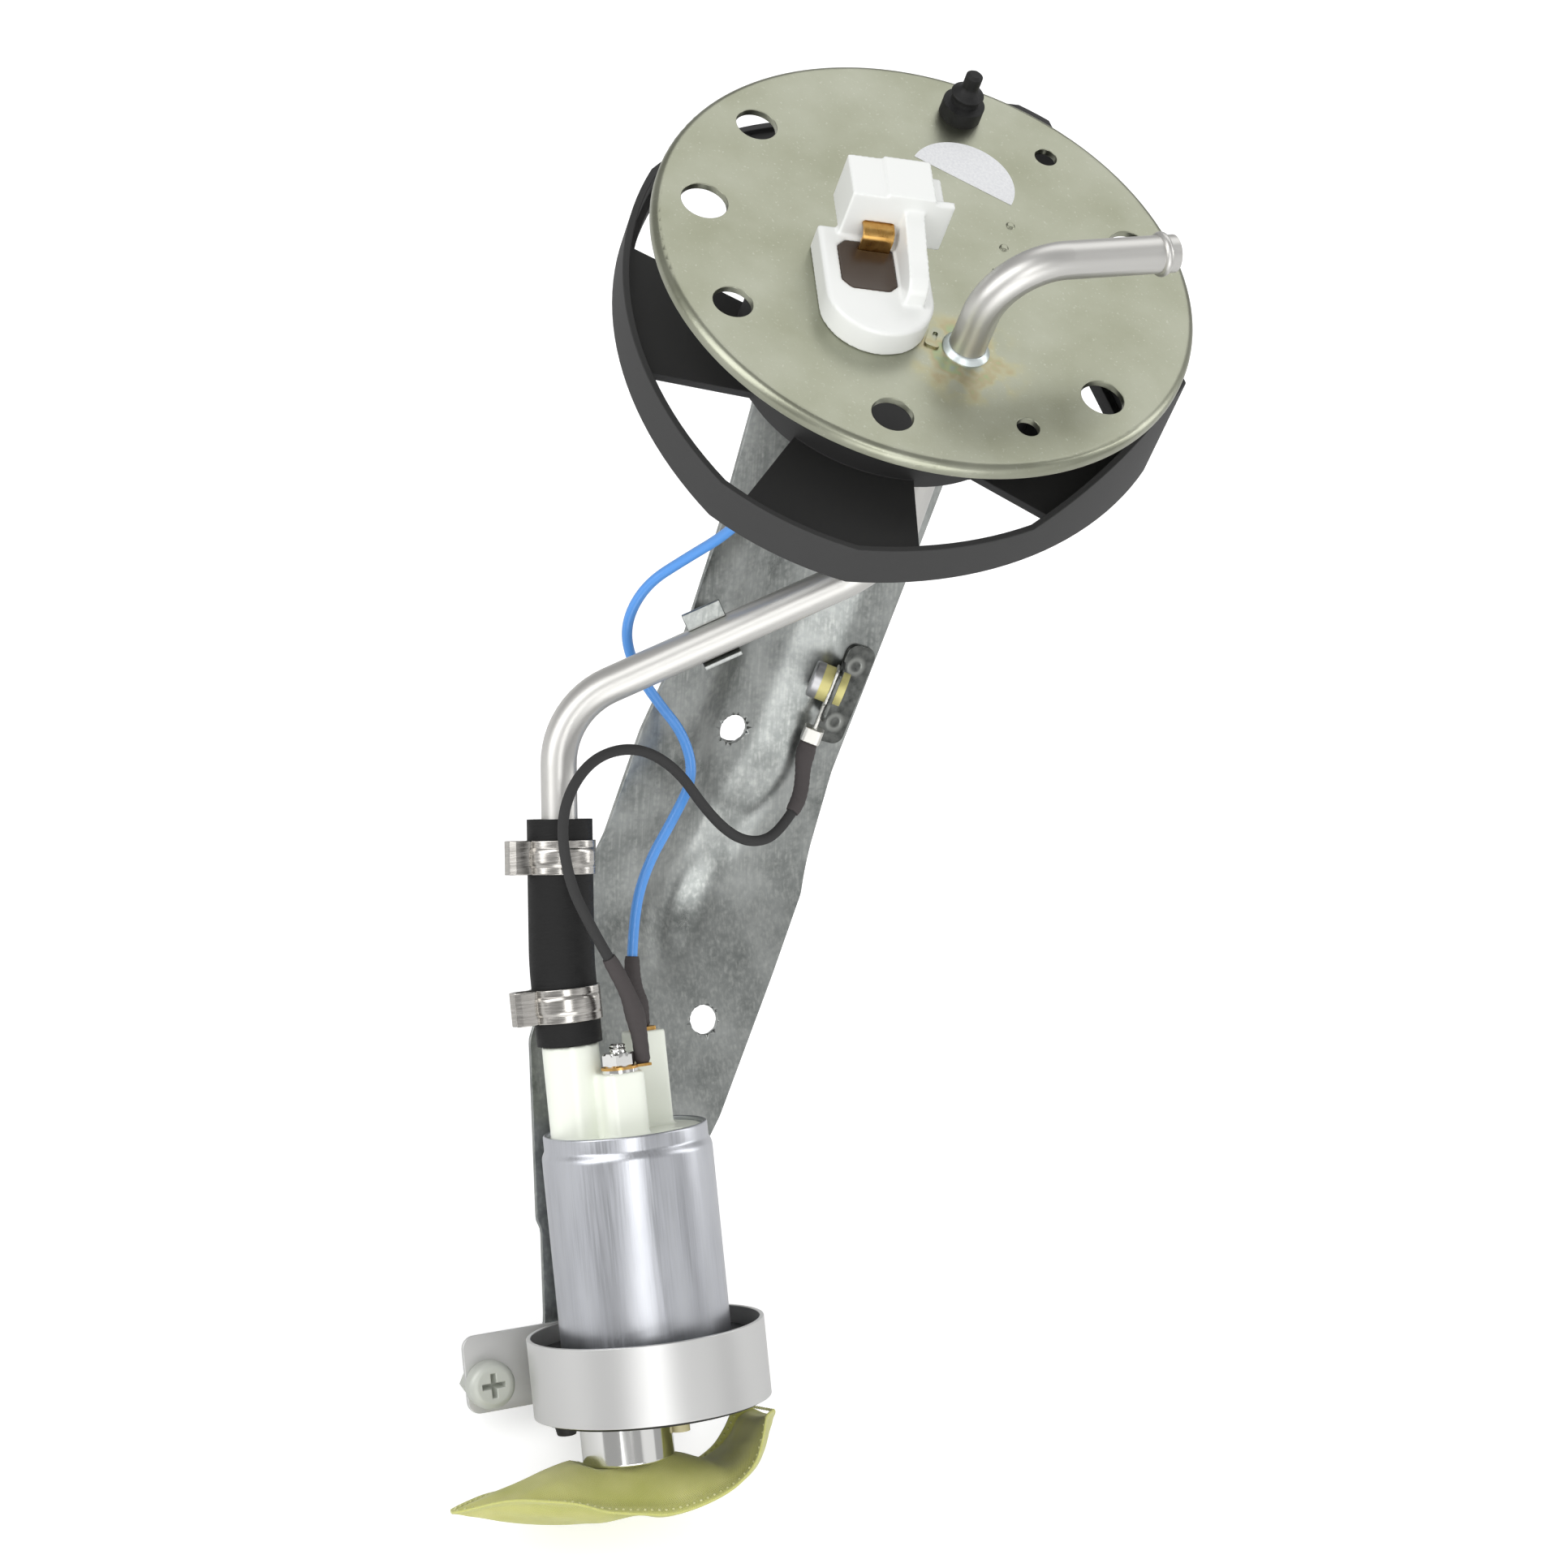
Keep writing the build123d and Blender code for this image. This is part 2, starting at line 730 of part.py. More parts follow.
with BuildPart() as baffle_ring:
    with BuildSketch(Plane.XY.offset(hub_bottom)):
        Circle(hub_r)
        Circle(hub_r - hub_wall, mode=Mode.SUBTRACT)
    extrude(amount=-hub_bottom)
    with BuildSketch(Plane.XY.offset(band_bottom)):
        add(band_outline(0))
        add(band_outline(band_ledge_wall), mode=Mode.SUBTRACT)
    extrude(amount=band_high_top - band_bottom)
    with BuildSketch(Plane.XY.offset(band_bottom)):
        add(band_outline(0))
        add(band_outline(band_wall), mode=Mode.SUBTRACT)
    extrude(amount=band_ledge_height)
    # The band's top falls away from the flat side
    with BuildSketch(Plane.YZ.offset(-2 * band_r)):
        with BuildLine():
            Polyline(
                (-2 * band_r, band_low_top),
                (band_rise_start, band_low_top),
                (band_rise_end, band_high_top),
                (band_rise_end, 1),
                (-2 * band_r, 1),
                close=True,
            )
        make_face()
    band_cut = extrude(amount=4 * band_r, mode=Mode.PRIVATE)
    with BuildSketch(Plane.XY.offset(hub_bottom - 1)):
        Circle(hub_r + 1)
    hub_keep = extrude(amount=-hub_bottom + 3, mode=Mode.PRIVATE)
    add(band_cut - hub_keep, mode=Mode.SUBTRACT)
    with BuildSketch(Plane.XY.offset(band_bottom)):
        add(band_outline(band_ledge_wall / 2))
    web_limit = extrude(amount=-band_bottom, both=True, mode=Mode.PRIVATE)
    add(web_dish.part & web_limit)
finish(baffle_ring.part, "baffle_ring")

# Bracket: side profile of the folded sheet, cut to the outline seen from the front
bend_low = in_hang(bracket_front_v, 0, bracket_bend_u)
bracket_end = in_hang(bracket_front_v, 0, strap_bottom + 0.6)
strap_z = in_hang(bracket_front_v, 0, strap_top).Z
panel_up = Vector(-sin(radians(panel_angle)), 0, cos(radians(panel_angle)))
panel_normal = Vector(cos(radians(panel_angle)), 0, sin(radians(panel_angle)))
panel_length = (bend_low.X - bracket_wall_x) / sin(radians(panel_angle))
bend_high = bend_low + panel_up * panel_length
panel = Plane(origin=(bend_low.X, 0, bend_low.Z), x_dir=(0, 1, 0), z_dir=panel_normal)


def folded_sheet(depth):
    """Side profile of the folded sheet, from its front face to a depth behind it."""
    with BuildSketch(Plane.XZ) as profile:
        with BuildLine():
            FilletPolyline(
                (bracket_wall_x - bracket_foot, 0),
                (bracket_wall_x, 0),
                (bend_high.X, bend_high.Z),
                (bend_low.X, bend_low.Z),
                (bracket_end.X, bracket_end.Z),
                radius=[2.5, bracket_bend_r, bracket_bend_r],
            )
            offset(amount=depth, side=Side.RIGHT)
        make_face()
    return profile.sketch


bracket_outline = (
    (-bracket_half_width, 1.0),
    (-bracket_half_width, -52.0),
    (-28.4, -76.2),
    (-35.5, -98.0),
    (-44.9, -116.8),
    (-52.5, -138.0),
    (-73.5, -169.7),
    (-76.3, -195.0),
    (-75.4, -196.2),
    (-76.8, strap_z + 1.3),
    (-77.2, strap_z - 0.5),
    (-96.3, strap_z - 0.5),
    (-96.3, strap_z - 2 * strap_height),
    (-50.0, strap_z - 2 * strap_height),
    (-50.0, strap_z + 3.3),
    (-45.0, -198.4),
    (-29.0, -184.4),
    (-12.2, -165.4),
    (-3.0, -154.4),
    (3.8, -130.2),
    (18.8, -92.5),
    (29.0, -66.4),
    (bracket_half_width, -52.0),
    (bracket_half_width, 1.0),
)
channel_outline = (
    (-10.0, 106.0),
    (-20.4, 82.0),
    (-33.7, 42.0),
    (-45.0, 0.0),
    (-45.5, -14.0),
    (-41.0, -22.0),
    (-35.0, -18.0),
    (-20.0, 4.0),
    (-5.0, 27.0),
    (6.5, 60.0),
    (12.0, 76.0),
    (9.0, 106.0),
)
channel_draft = 38.0

with BuildPart() as channel_pan:
    with BuildSketch(Plane.XZ):
        add(folded_sheet(channel_depth + sheet_t))
    extrude(amount=2 * flange_r, both=True)
    with BuildSketch(panel.offset(2 * channel_depth)):
        Polygon(*channel_outline, align=None)
        offset(amount=sheet_t + 2 * channel_depth * tan(radians(channel_draft)), kind=Kind.INTERSECTION)
    extrude(amount=-4 * channel_depth, taper=channel_draft, mode=Mode.INTERSECT)

with BuildPart() as channel_hollow:
    with BuildSketch(Plane.XZ):
        add(folded_sheet(channel_depth))
    extrude(amount=2 * flange_r, both=True)
    with BuildSketch(panel.offset(2 * channel_depth)):
        Polygon(*channel_outline, align=None)
        offset(amount=2 * channel_depth * tan(radians(channel_draft)), kind=Kind.INTERSECTION)
    extrude(amount=-4 * channel_depth, taper=channel_draft, mode=Mode.INTERSECT)

with BuildPart() as bracket:
    with BuildSketch(Plane.XZ):
        add(folded_sheet(sheet_t))
    extrude(amount=2 * flange_r, both=True)
    with BuildSketch(Plane.YZ.offset(-flange_r)):
        Polygon(*bracket_outline, align=None)
    extrude(amount=5 * flange_r, mode=Mode.INTERSECT)
    add(channel_pan.part)
    add(channel_hollow.part, mode=Mode.SUBTRACT)
    with BuildSketch(Plane(panel.origin, x_dir=(0, 1, 0), z_dir=panel_normal)):
        with Locations((upper_hole[0], (upper_hole[1] - bend_low.Z) / panel_up.Z)):
            Circle(bracket_hole_r)
    extrude(amount=3 * channel_depth, both=True, mode=Mode.SUBTRACT)
    with BuildSketch(Plane(bend_low, x_dir=(0, 1, 0), z_dir=front)):
        with Locations((lower_hole[0] - bend_low.Y, (lower_hole[1] - bend_low.Z) / up.Z)):
            Circle(bracket_hole_r)
    extrude(amount=2 * channel_depth, both=True, mode=Mode.SUBTRACT)
    with BuildSketch(Plane(in_hang(0, screw_w, screw_u), x_dir=(0, 1, 0), z_dir=front)):
        Circle(screw_r + fit_gap)
    extrude(amount=-2 * cup_r, mode=Mode.SUBTRACT)
finish(bracket.part, "bracket")


def on_panel(y, s, h=0.0):
    """A point on the bracket's upper panel: side, distance up it and height off it."""
    return Vector(bend_low.X, y, bend_low.Z) + panel_up * s + panel_normal * h


# Pipe clip: a foot on the bracket, a leg and a half-round saddle under the pipe
pipe_run = pipe_low_corner - Vector(*pipe_corner)
clip_centre = Vector(*pipe_corner) + pipe_run * clip_share
pipe_direction = pipe_run.normalized()
clip_side = panel_normal.cross(pipe_direction).normalized()
clip_up = pipe_direction.cross(clip_side).normalized()
saddle = Plane(clip_centre - pipe_direction * clip_length / 2, x_dir=clip_side, z_dir=pipe_direction)
clip_height = (clip_centre - Vector(bend_low.X, 0, bend_low.Z)).dot(panel_normal)
saddle_r = pipe_r + seat_gap
with BuildPart() as pipe_clip:
    with BuildSketch(saddle):
        Circle(saddle_r + clip_t)
        with Locations((0, saddle_r)):
            Rectangle(4 * saddle_r, 2 * saddle_r, mode=Mode.SUBTRACT)
        with Locations((-saddle_r - (clip_t + clip_lip) / 2, -clip_t / 2)):
            Rectangle(clip_t + clip_lip, clip_t)
        with Locations((saddle_r + clip_t / 2, -clip_height / 2)):
            Rectangle(clip_t, clip_height + 6.0)
        Circle(saddle_r, mode=Mode.SUBTRACT)
    extrude(amount=clip_length)
    with BuildSketch(panel):
        Rectangle(8 * flange_r, 8 * flange_r)
    extrude(amount=-8 * flange_r, mode=Mode.SUBTRACT)
finish(pipe_clip.part, "pipe_clip")

# Earth plate: a strip welded along the panel's edge, with a lug folded over from its side
earth_up = panel_up * cos(radians(earth_turn)) + Vector(0, 1, 0) * sin(radians(earth_turn))
earth_frame = Plane(on_panel(*earth_at), x_dir=earth_up, z_dir=panel_normal)
earth_left = earth_frame.y_dir
lug_out = panel_normal * cos(radians(lug_lean)) + earth_left * sin(radians(lug_lean))
head_way = lug_out.cross(earth_up).normalized()
lug_face = Plane(earth_frame.origin, x_dir=-earth_up, z_dir=head_way)
with BuildPart() as earth_plate:
    with BuildSketch(earth_frame):
        with Locations((0, -earth_width / 2)):
            RectangleRounded(earth_length, earth_width, earth_width / 3)
    extrude(amount=earth_sheet_t)
    with BuildSketch(lug_face):
        with Locations((lug_down, lug_height / 2)):
            RectangleRounded(lug_length, lug_height, 2.0)
        with Locations((lug_down, lug_height / 4)):
            Rectangle(lug_length, lug_height / 2)
        with Locations((earth_screw_down, earth_screw_off)):
            Circle(earth_screw_r + fit_gap, mode=Mode.SUBTRACT)
    extrude(amount=-earth_sheet_t)
finish(earth_plate.part, "earth_plate")

# Ring terminal, washers, screw and nut on the lug
screw_base = lug_face.from_local_coords((earth_screw_down, earth_screw_off, 0))
terminal_face = Plane(screw_base, x_dir=-earth_up, z_dir=head_way)
crimp_off = terminal_t / 2
with BuildPart() as earth_terminal:
    with BuildSketch(terminal_face):
        RectangleRounded(terminal_width, terminal_width - 1.0, terminal_corner)
        with Locations((crimp_reach / 2 + terminal_corner, 0)):
            Rectangle(crimp_reach, 2 * shrink_r)
        Circle(earth_screw_r + fit_gap, mode=Mode.SUBTRACT)
    extrude(amount=terminal_t)
    with BuildSketch(Plane(terminal_face.from_local_coords((crimp_reach, 0, crimp_off)),
                           x_dir=terminal_face.y_dir, z_dir=-earth_up)):
        RectangleRounded(2 * shrink_r + 1.0, 2 * shrink_r + 0.6, 0.9)
    extrude(amount=crimp_length)
finish(earth_terminal.part, "earth_terminal")

with BuildPart() as earth_washer:
    with BuildSketch(terminal_face.offset(terminal_t)):
        Circle(earth_washer_r)
        Circle(earth_screw_r + fit_gap, mode=Mode.SUBTRACT)
    extrude(amount=earth_washer_t)
finish(earth_washer.part, "earth_washer")

head_base = terminal_face.offset(terminal_t + earth_washer_t)
with BuildPart() as earth_screw:
    with BuildSketch(head_base):
        Circle(earth_head_r)
    extrude(amount=earth_head_height)
    fillet(earth_screw.edges().sort_by(Axis(head_base.origin, head_base.z_dir))[-1], 0.6)
    with BuildSketch(head_base):
        Circle(earth_screw_r)
    extrude(amount=-(terminal_t + earth_washer_t + earth_sheet_t + earth_nut_t))
finish(earth_screw.part, "earth_screw")

with BuildPart() as earth_nut:
    with BuildSketch(lug_face.offset(-earth_sheet_t)):
        with Locations((earth_screw_down, earth_screw_off)):
            Circle(earth_nut_r)
            Circle(earth_screw_r + fit_gap, mode=Mode.SUBTRACT)
    extrude(amount=-earth_nut_t)
finish(earth_nut.part, "earth_nut")

# Pump case: a drawn tube, necked at the top and turned in at both ends
case_inner_r = case_r - case_wall
neck_inner_r = neck_r - case_wall
with BuildPart() as pump_case:
    with BuildSketch(Plane(hang.origin, x_dir=front, z_dir=hang.y_dir)):
        with BuildLine():
            Polyline(
                (neck_r, 0),
                (neck_r, neck_height),
                (case_r, neck_height + neck_slope),
                (case_r, case_length - case_corner),
                (case_r - lip_t, case_length),
                (bottom_lip_r, case_length),
                (bottom_lip_r, case_length - lip_t),
                (case_inner_r, case_length - lip_t),
                (case_inner_r, neck_height + neck_slope + 0.2),
                (neck_inner_r, neck_height + 0.2),
                (neck_inner_r, 0),
                close=True,
            )
        make_face()
    revolve(axis=Axis(hang.origin, up))
finish(pump_case.part, "pump_case")

# End cap: a moulded disc with the outlet tube, the terminal posts and the brush guides
guide_bottom = upper_bush_bottom + 0.5
relief_seat = cap_disc_bottom + 0.8
with BuildPart() as pump_end_cap:
    with BuildSketch(hang.offset(cap_disc_bottom)):
        Circle(cap_r)
    extrude(amount=-cap_disc_bottom - lip_t)
    with BuildSketch(hang.offset(flux_ring_top + seat_gap)):
        Circle(flux_ring_r)
        Circle(flux_ring_r - cap_skirt_t, mode=Mode.SUBTRACT)
    extrude(amount=-neck_height - 1.5 - flux_ring_top - seat_gap)
    with BuildSketch(hang.offset(cap_disc_bottom - 0.6)):
        Circle(flux_ring_r)
    extrude(amount=cap_flange_t)
    with BuildSketch(hang.offset(upper_bush_bottom)):
        Circle(bush_r + 1.6)
    extrude(amount=cap_disc_bottom - upper_bush_bottom)
    with BuildSketch(hang.offset(guide_bottom)):
        with Locations((brush_v, 0), (-brush_v, 0)):
            Rectangle(brush_size[0] + 3.0, brush_size[1] + 3.0)
    extrude(amount=cap_disc_bottom - guide_bottom)
    with BuildSketch(hang.offset(cap_disc_bottom)):
        with Locations((0, outlet_w)):
            Circle(outlet_r)
    extrude(amount=outlet_top - cap_disc_bottom)
    with BuildSketch(hang.offset(outlet_top)):
        with Locations((0, outlet_w)):
            Circle(nipple_r)
    extrude(amount=nipple_top - outlet_top)
    with BuildSketch(hang.offset(cap_disc_bottom)):
        with Locations(front_post):
            RectangleRounded(*front_post_size, 2.4)
    extrude(amount=front_post_top - cap_disc_bottom)
    with BuildSketch(hang.offset(cap_disc_bottom)):
        with Locations(rear_post):
            RectangleRounded(*rear_post_size, 1.0)
    extrude(amount=rear_post_top - cap_disc_bottom)
    # Bores: bush, shaft end, brushes, outlet with its valve chamber, relief valve
    with BuildSketch(hang.offset(upper_bush_bottom)):
        Circle(bush_r)
    extrude(amount=bush_length, mode=Mode.SUBTRACT)
    with BuildSketch(hang.offset(upper_bush_bottom)):
        Circle(shaft_r + 0.4)
    extrude(amount=shaft_top - upper_bush_bottom + 0.8, mode=Mode.SUBTRACT)
    with BuildSketch(hang.offset(guide_bottom)):
        with Locations((brush_v, 0), (-brush_v, 0)):
            Rectangle(brush_size[0] + 2 * fit_gap, brush_size[1] + 2 * fit_gap)
    extrude(amount=commutator_top + brush_length + brush_spring_length + brush_travel + 0.5 - guide_bottom,
            mode=Mode.SUBTRACT)
    with BuildSketch(hang.offset(cap_disc_bottom)):
        with Locations((0, outlet_w)):
            Circle(valve_seat_r)
    extrude(amount=-cap_disc_bottom, mode=Mode.SUBTRACT)
    with BuildSketch(hang):
        with Locations((0, outlet_w)):
            Circle(valve_chamber_r)
    extrude(amount=valve_chamber_top, mode=Mode.SUBTRACT)
    with BuildSketch(hang.offset(valve_chamber_top - 1.0)):
        with Locations((0, outlet_w)):
            Circle(nipple_bore_r)
    extrude(amount=nipple_top - valve_chamber_top + 2.0, mode=Mode.SUBTRACT)
    with BuildSketch(hang.offset(cap_disc_bottom)):
        with Locations(relief_place):
            Circle(relief_r - 0.6)
    extrude(amount=-cap_disc_bottom, mode=Mode.SUBTRACT)
    with BuildSketch(hang.offset(relief_seat)):
        with Locations(relief_place):
            Circle(relief_r + 0.2)
    extrude(amount=relief_chamber, mode=Mode.SUBTRACT)
finish(pump_end_cap.part, "pump_end_cap")

# Check valve: a poppet on its seat with the spring above it
with BuildPart() as check_valve:
    with BuildSketch(Plane(in_hang(0, outlet_w, 0), x_dir=front, z_dir=hang.y_dir)):
        with BuildLine():
            Polyline(
                (0, -fit_gap),
                (valve_r, -fit_gap),
                (valve_r, -2.2),
                (valve_stem_r, -3.2),
                (valve_stem_r, -4.4),
                (0, -4.4),
                close=True,
            )
        make_face()
    revolve(axis=Axis(in_hang(0, outlet_w, 0), up))
finish(check_valve.part, "check_valve")

with BuildPart() as check_valve_spring:
    with BuildSketch(hang.offset(valve_spring_bottom)):
        with Locations((0, outlet_w)):
            Circle(valve_spring_r)
            Circle(valve_spring_inner_r, mode=Mode.SUBTRACT)
    extrude(amount=valve_chamber_top - valve_travel - spring_slack - valve_spring_bottom)
finish(check_valve_spring.part, "check_valve_spring")

# Relief valve: a small ball with its spring
with BuildPart() as relief_valve:
    with BuildSketch(hang.offset(relief_seat + seat_gap)):
        with Locations(relief_place):
            Circle(relief_r)
    extrude(amount=relief_t)
finish(relief_valve.part, "relief_valve")

with BuildPart() as relief_valve_spring:
    with BuildSketch(hang.offset(relief_seat + seat_gap + relief_t)):
        with Locations(relief_place):
            Circle(relief_r - 0.2)
            Circle(relief_r - 0.8, mode=Mode.SUBTRACT)
    extrude(amount=relief_chamber - seat_gap - relief_t - relief_travel - spring_slack)
finish(relief_valve_spring.part, "relief_valve_spring")

# Brushes with their springs, one in front and one behind
for side, name in ((1, "front"), (-1, "rear")):
    with BuildPart() as brush:
        with BuildSketch(hang.offset(commutator_top + seat_gap)):
            with Locations((side * brush_v, 0)):
                Rectangle(*brush_size)
        extrude(amount=brush_length)
    finish(brush.part, f"{name}_brush")
    with BuildPart() as brush_spring:
        with BuildSketch(hang.offset(commutator_top + seat_gap + brush_length)):
            with Locations((side * brush_v, 0)):
                Circle(brush_spring_r)
                Circle(brush_spring_inner_r, mode=Mode.SUBTRACT)
        extrude(amount=brush_spring_length)
    finish(brush_spring.part, f"{name}_brush_spring")

# Sintered bushes that carry the shaft
for name, bottom in (("upper_bush", upper_bush_bottom), ("lower_bush", housing_face + 0.6)):
    with BuildPart() as bush:
        with BuildSketch(hang.offset(bottom)):
            Circle(bush_r - seat_gap / 2)
            Circle(shaft_r + running_gap, mode=Mode.SUBTRACT)
        extrude(amount=bush_length)
    finish(bush.part, name)

# Armature: shaft, face commutator, slotted core and winding
with BuildPart() as shaft:
    with BuildSketch(hang.offset(shaft_bottom)):
        Circle(shaft_r)
    extrude(amount=shaft_top - shaft_bottom)
finish(shaft.part, "shaft")

with BuildPart() as commutator:
    with BuildSketch(hang.offset(commutator_top - commutator_t)):
        Circle(commutator_r)
        Circle(shaft_r + press_gap, mode=Mode.SUBTRACT)
    extrude(amount=commutator_t)
    with BuildSketch(hang.offset(commutator_top)):
        with PolarLocations(commutator_r / 2 + 2.2, slot_count, start_angle=11):
            Rectangle(commutator_r, 0.5)
    extrude(amount=-0.6, mode=Mode.SUBTRACT)
finish(commutator.part, "commutator")

with BuildPart() as armature_core:
    with BuildSketch(hang.offset(core_bottom)):
        Circle(core_r)
        Circle(shaft_r + press_gap, mode=Mode.SUBTRACT)
        with PolarLocations(core_r - slot_inset, slot_count):
            Rectangle(*slot_size, mode=Mode.SUBTRACT)
        with PolarLocations(core_r, slot_count):
            Rectangle(*slot_mouth, mode=Mode.SUBTRACT)
    extrude(amount=core_top - core_bottom)
finish(armature_core.part, "armature_core")

with BuildPart() as armature_winding:
    for bottom, top in ((core_top, core_top + winding_end), (core_bottom - winding_end, core_bottom)):
        with BuildSketch(hang.offset(bottom)):
            Circle(winding_r)
            Circle(shaft_r + 2.0, mode=Mode.SUBTRACT)
        extrude(amount=top - bottom)
    with BuildSketch(hang.offset(core_bottom)):
        with PolarLocations(core_r - slot_inset, slot_count):
            Rectangle(slot_size[0] - 2 * fit_gap, slot_size[1] - 2 * fit_gap)
    extrude(amount=core_top - core_bottom)
    fillet(armature_winding.edges().filter_by(GeomType.CIRCLE).filter_by(lambda e: abs(e.radius - winding_r) < 0.01)
           .sort_by(Axis(hang.origin, up))[-1], 1.6)
finish(armature_winding.part, "armature_winding")

# Field magnets and the flux ring that backs them
with BuildPart() as magnets:
    with BuildSketch(hang.offset(core_bottom - magnet_overhang)):
        Circle(flux_ring_inner_r - seat_gap)
        Circle(magnet_inner_r, mode=Mode.SUBTRACT)
        Rectangle(magnet_gap, 4 * case_r, mode=Mode.SUBTRACT)
    extrude(amount=core_top - core_bottom + 2 * magnet_overhang)
finish(magnets.part, "magnets")

with BuildPart() as flux_ring:
    with BuildSketch(hang.offset(flux_ring_bottom)):
        Circle(flux_ring_r)
        Circle(flux_ring_inner_r, mode=Mode.SUBTRACT)
    extrude(amount=flux_ring_top - flux_ring_bottom)
finish(flux_ring.part, "flux_ring")

# Pump housing, impeller and inlet cover
section_r = case_inner_r - fit_gap
channel_outer_r = impeller_r - 0.6
with BuildPart() as pump_housing:
    with BuildSketch(hang.offset(housing_face)):
        Circle(section_r)
        Circle(bush_r, mode=Mode.SUBTRACT)
    extrude(amount=housing_top - housing_face)
    with BuildSketch(hang.offset(cover_top)):
        Circle(section_r)
        Circle(impeller_r + impeller_gap, mode=Mode.SUBTRACT)
    extrude(amount=housing_face - cover_top)
    with BuildSketch(hang.offset(housing_face)):
        Circle(channel_outer_r)
        Circle(channel_outer_r - channel_width, mode=Mode.SUBTRACT)
        with Locations((channel_outer_r - channel_width / 2, 0)):
            Rectangle(2.5 * channel_width, channel_width, mode=Mode.SUBTRACT)
    extrude(amount=channel_cut, mode=Mode.SUBTRACT)
    with BuildSketch(hang.offset(housing_face)):
        with Locations((0, channel_outer_r - channel_width / 2)):
            Circle(channel_width / 2 - 0.3)
    extrude(amount=housing_top - housing_face, mode=Mode.SUBTRACT)
finish(pump_housing.part, "pump_housing")

impeller_bottom = cover_top + impeller_gap
with BuildPart() as impeller:
    with BuildSketch(hang.offset(impeller_bottom)):
        Circle(impeller_r)
        Circle(shaft_r + press_gap, mode=Mode.SUBTRACT)
        with PolarLocations(impeller_r - 0.8, impeller_vanes):
            Rectangle(*vane_slot, mode=Mode.SUBTRACT)
    extrude(amount=impeller_t)
finish(impeller.part, "impeller")

with BuildPart() as inlet_cover:
    with BuildSketch(hang.offset(cover_bottom)):
        Circle(section_r)
    extrude(amount=cover_top - cover_bottom)
    with BuildSketch(hang.offset(spigot_bottom)):
        with Locations((0, inlet_w)):
            Circle(spigot_outer_r)
    extrude(amount=cover_bottom - spigot_bottom)
    with BuildSketch(hang.offset(cover_top)):
        Circle(channel_outer_r)
        Circle(channel_outer_r - channel_width, mode=Mode.SUBTRACT)
    extrude(amount=-channel_cut, mode=Mode.SUBTRACT)
    with BuildSketch(hang.offset(cover_top)):
        Circle(shaft_r + 0.4)
    extrude(amount=shaft_bottom - cover_top - 0.3, mode=Mode.SUBTRACT)
    with BuildSketch(hang.offset(spigot_bottom)):
        with Locations((0, inlet_w)):
            Circle(spigot_inner_r)
    extrude(amount=cover_bottom - spigot_bottom + 0.6, mode=Mode.SUBTRACT)
    with BuildSketch(hang.offset(cover_top)):
        with Locations((0, channel_width - channel_outer_r)):
            Circle(channel_width / 2 - 0.2)
    extrude(amount=cover_bottom - cover_top, mode=Mode.SUBTRACT)
finish(inlet_cover.part, "inlet_cover")

# Rubber cup that isolates the pump, with its floor under the case
cup_floor_top = -case_length - fit_gap
cup_bottom = cup_floor_top - cup_floor_t
with BuildPart() as isolator:
    with BuildSketch(hang.offset(cup_bottom)):
        Circle(cup_r)
    extrude(amount=cup_top - cup_bottom)
    fillet(isolator.edges().sort_by(Axis(hang.origin, up))[0], 1.2)
    with BuildSketch(hang.offset(cup_floor_top)):
        Circle(case_r + seat_gap)
    extrude(amount=cup_top - cup_floor_top, mode=Mode.SUBTRACT)
    with BuildSketch(hang.offset(cup_bottom)):
        with Locations((0, inlet_w)):
            Circle(collar_outer_r + soft_gap)
        with Locations(peg_place):
            Circle(peg_r + fit_gap)
    extrude(amount=2 * cup_floor_t, mode=Mode.SUBTRACT)
    with BuildSketch(hang.offset(cup_bottom)):
        with Locations((0, foot_w)):
            Circle(foot_r)
    extrude(amount=-foot_height, taper=12)
finish(isolator.part, "isolator")

# Steel collar of the strainer, pushed on the inlet spigot
with BuildPart() as inlet_collar:
    with BuildSketch(hang.offset(collar_bottom)):
        with Locations((0, inlet_w)):
            Circle(collar_outer_r)
            Circle(spigot_outer_r + seat_gap, mode=Mode.SUBTRACT)
    extrude(amount=-case_length - fit_gap - collar_bottom)
    fillet(inlet_collar.edges().filter_by(GeomType.CIRCLE).filter_by(lambda e: e.radius > collar_outer_r - 0.1)
           .sort_by(Axis(hang.origin, up))[0], 0.6)
finish(inlet_collar.part, "inlet_collar")

with BuildPart() as locating_peg:
    with BuildSketch(hang.offset(-case_length - peg_length)):
        with Locations(peg_place):
            Circle(peg_r)
    extrude(amount=peg_length + lip_t)
finish(locating_peg.part, "locating_peg")

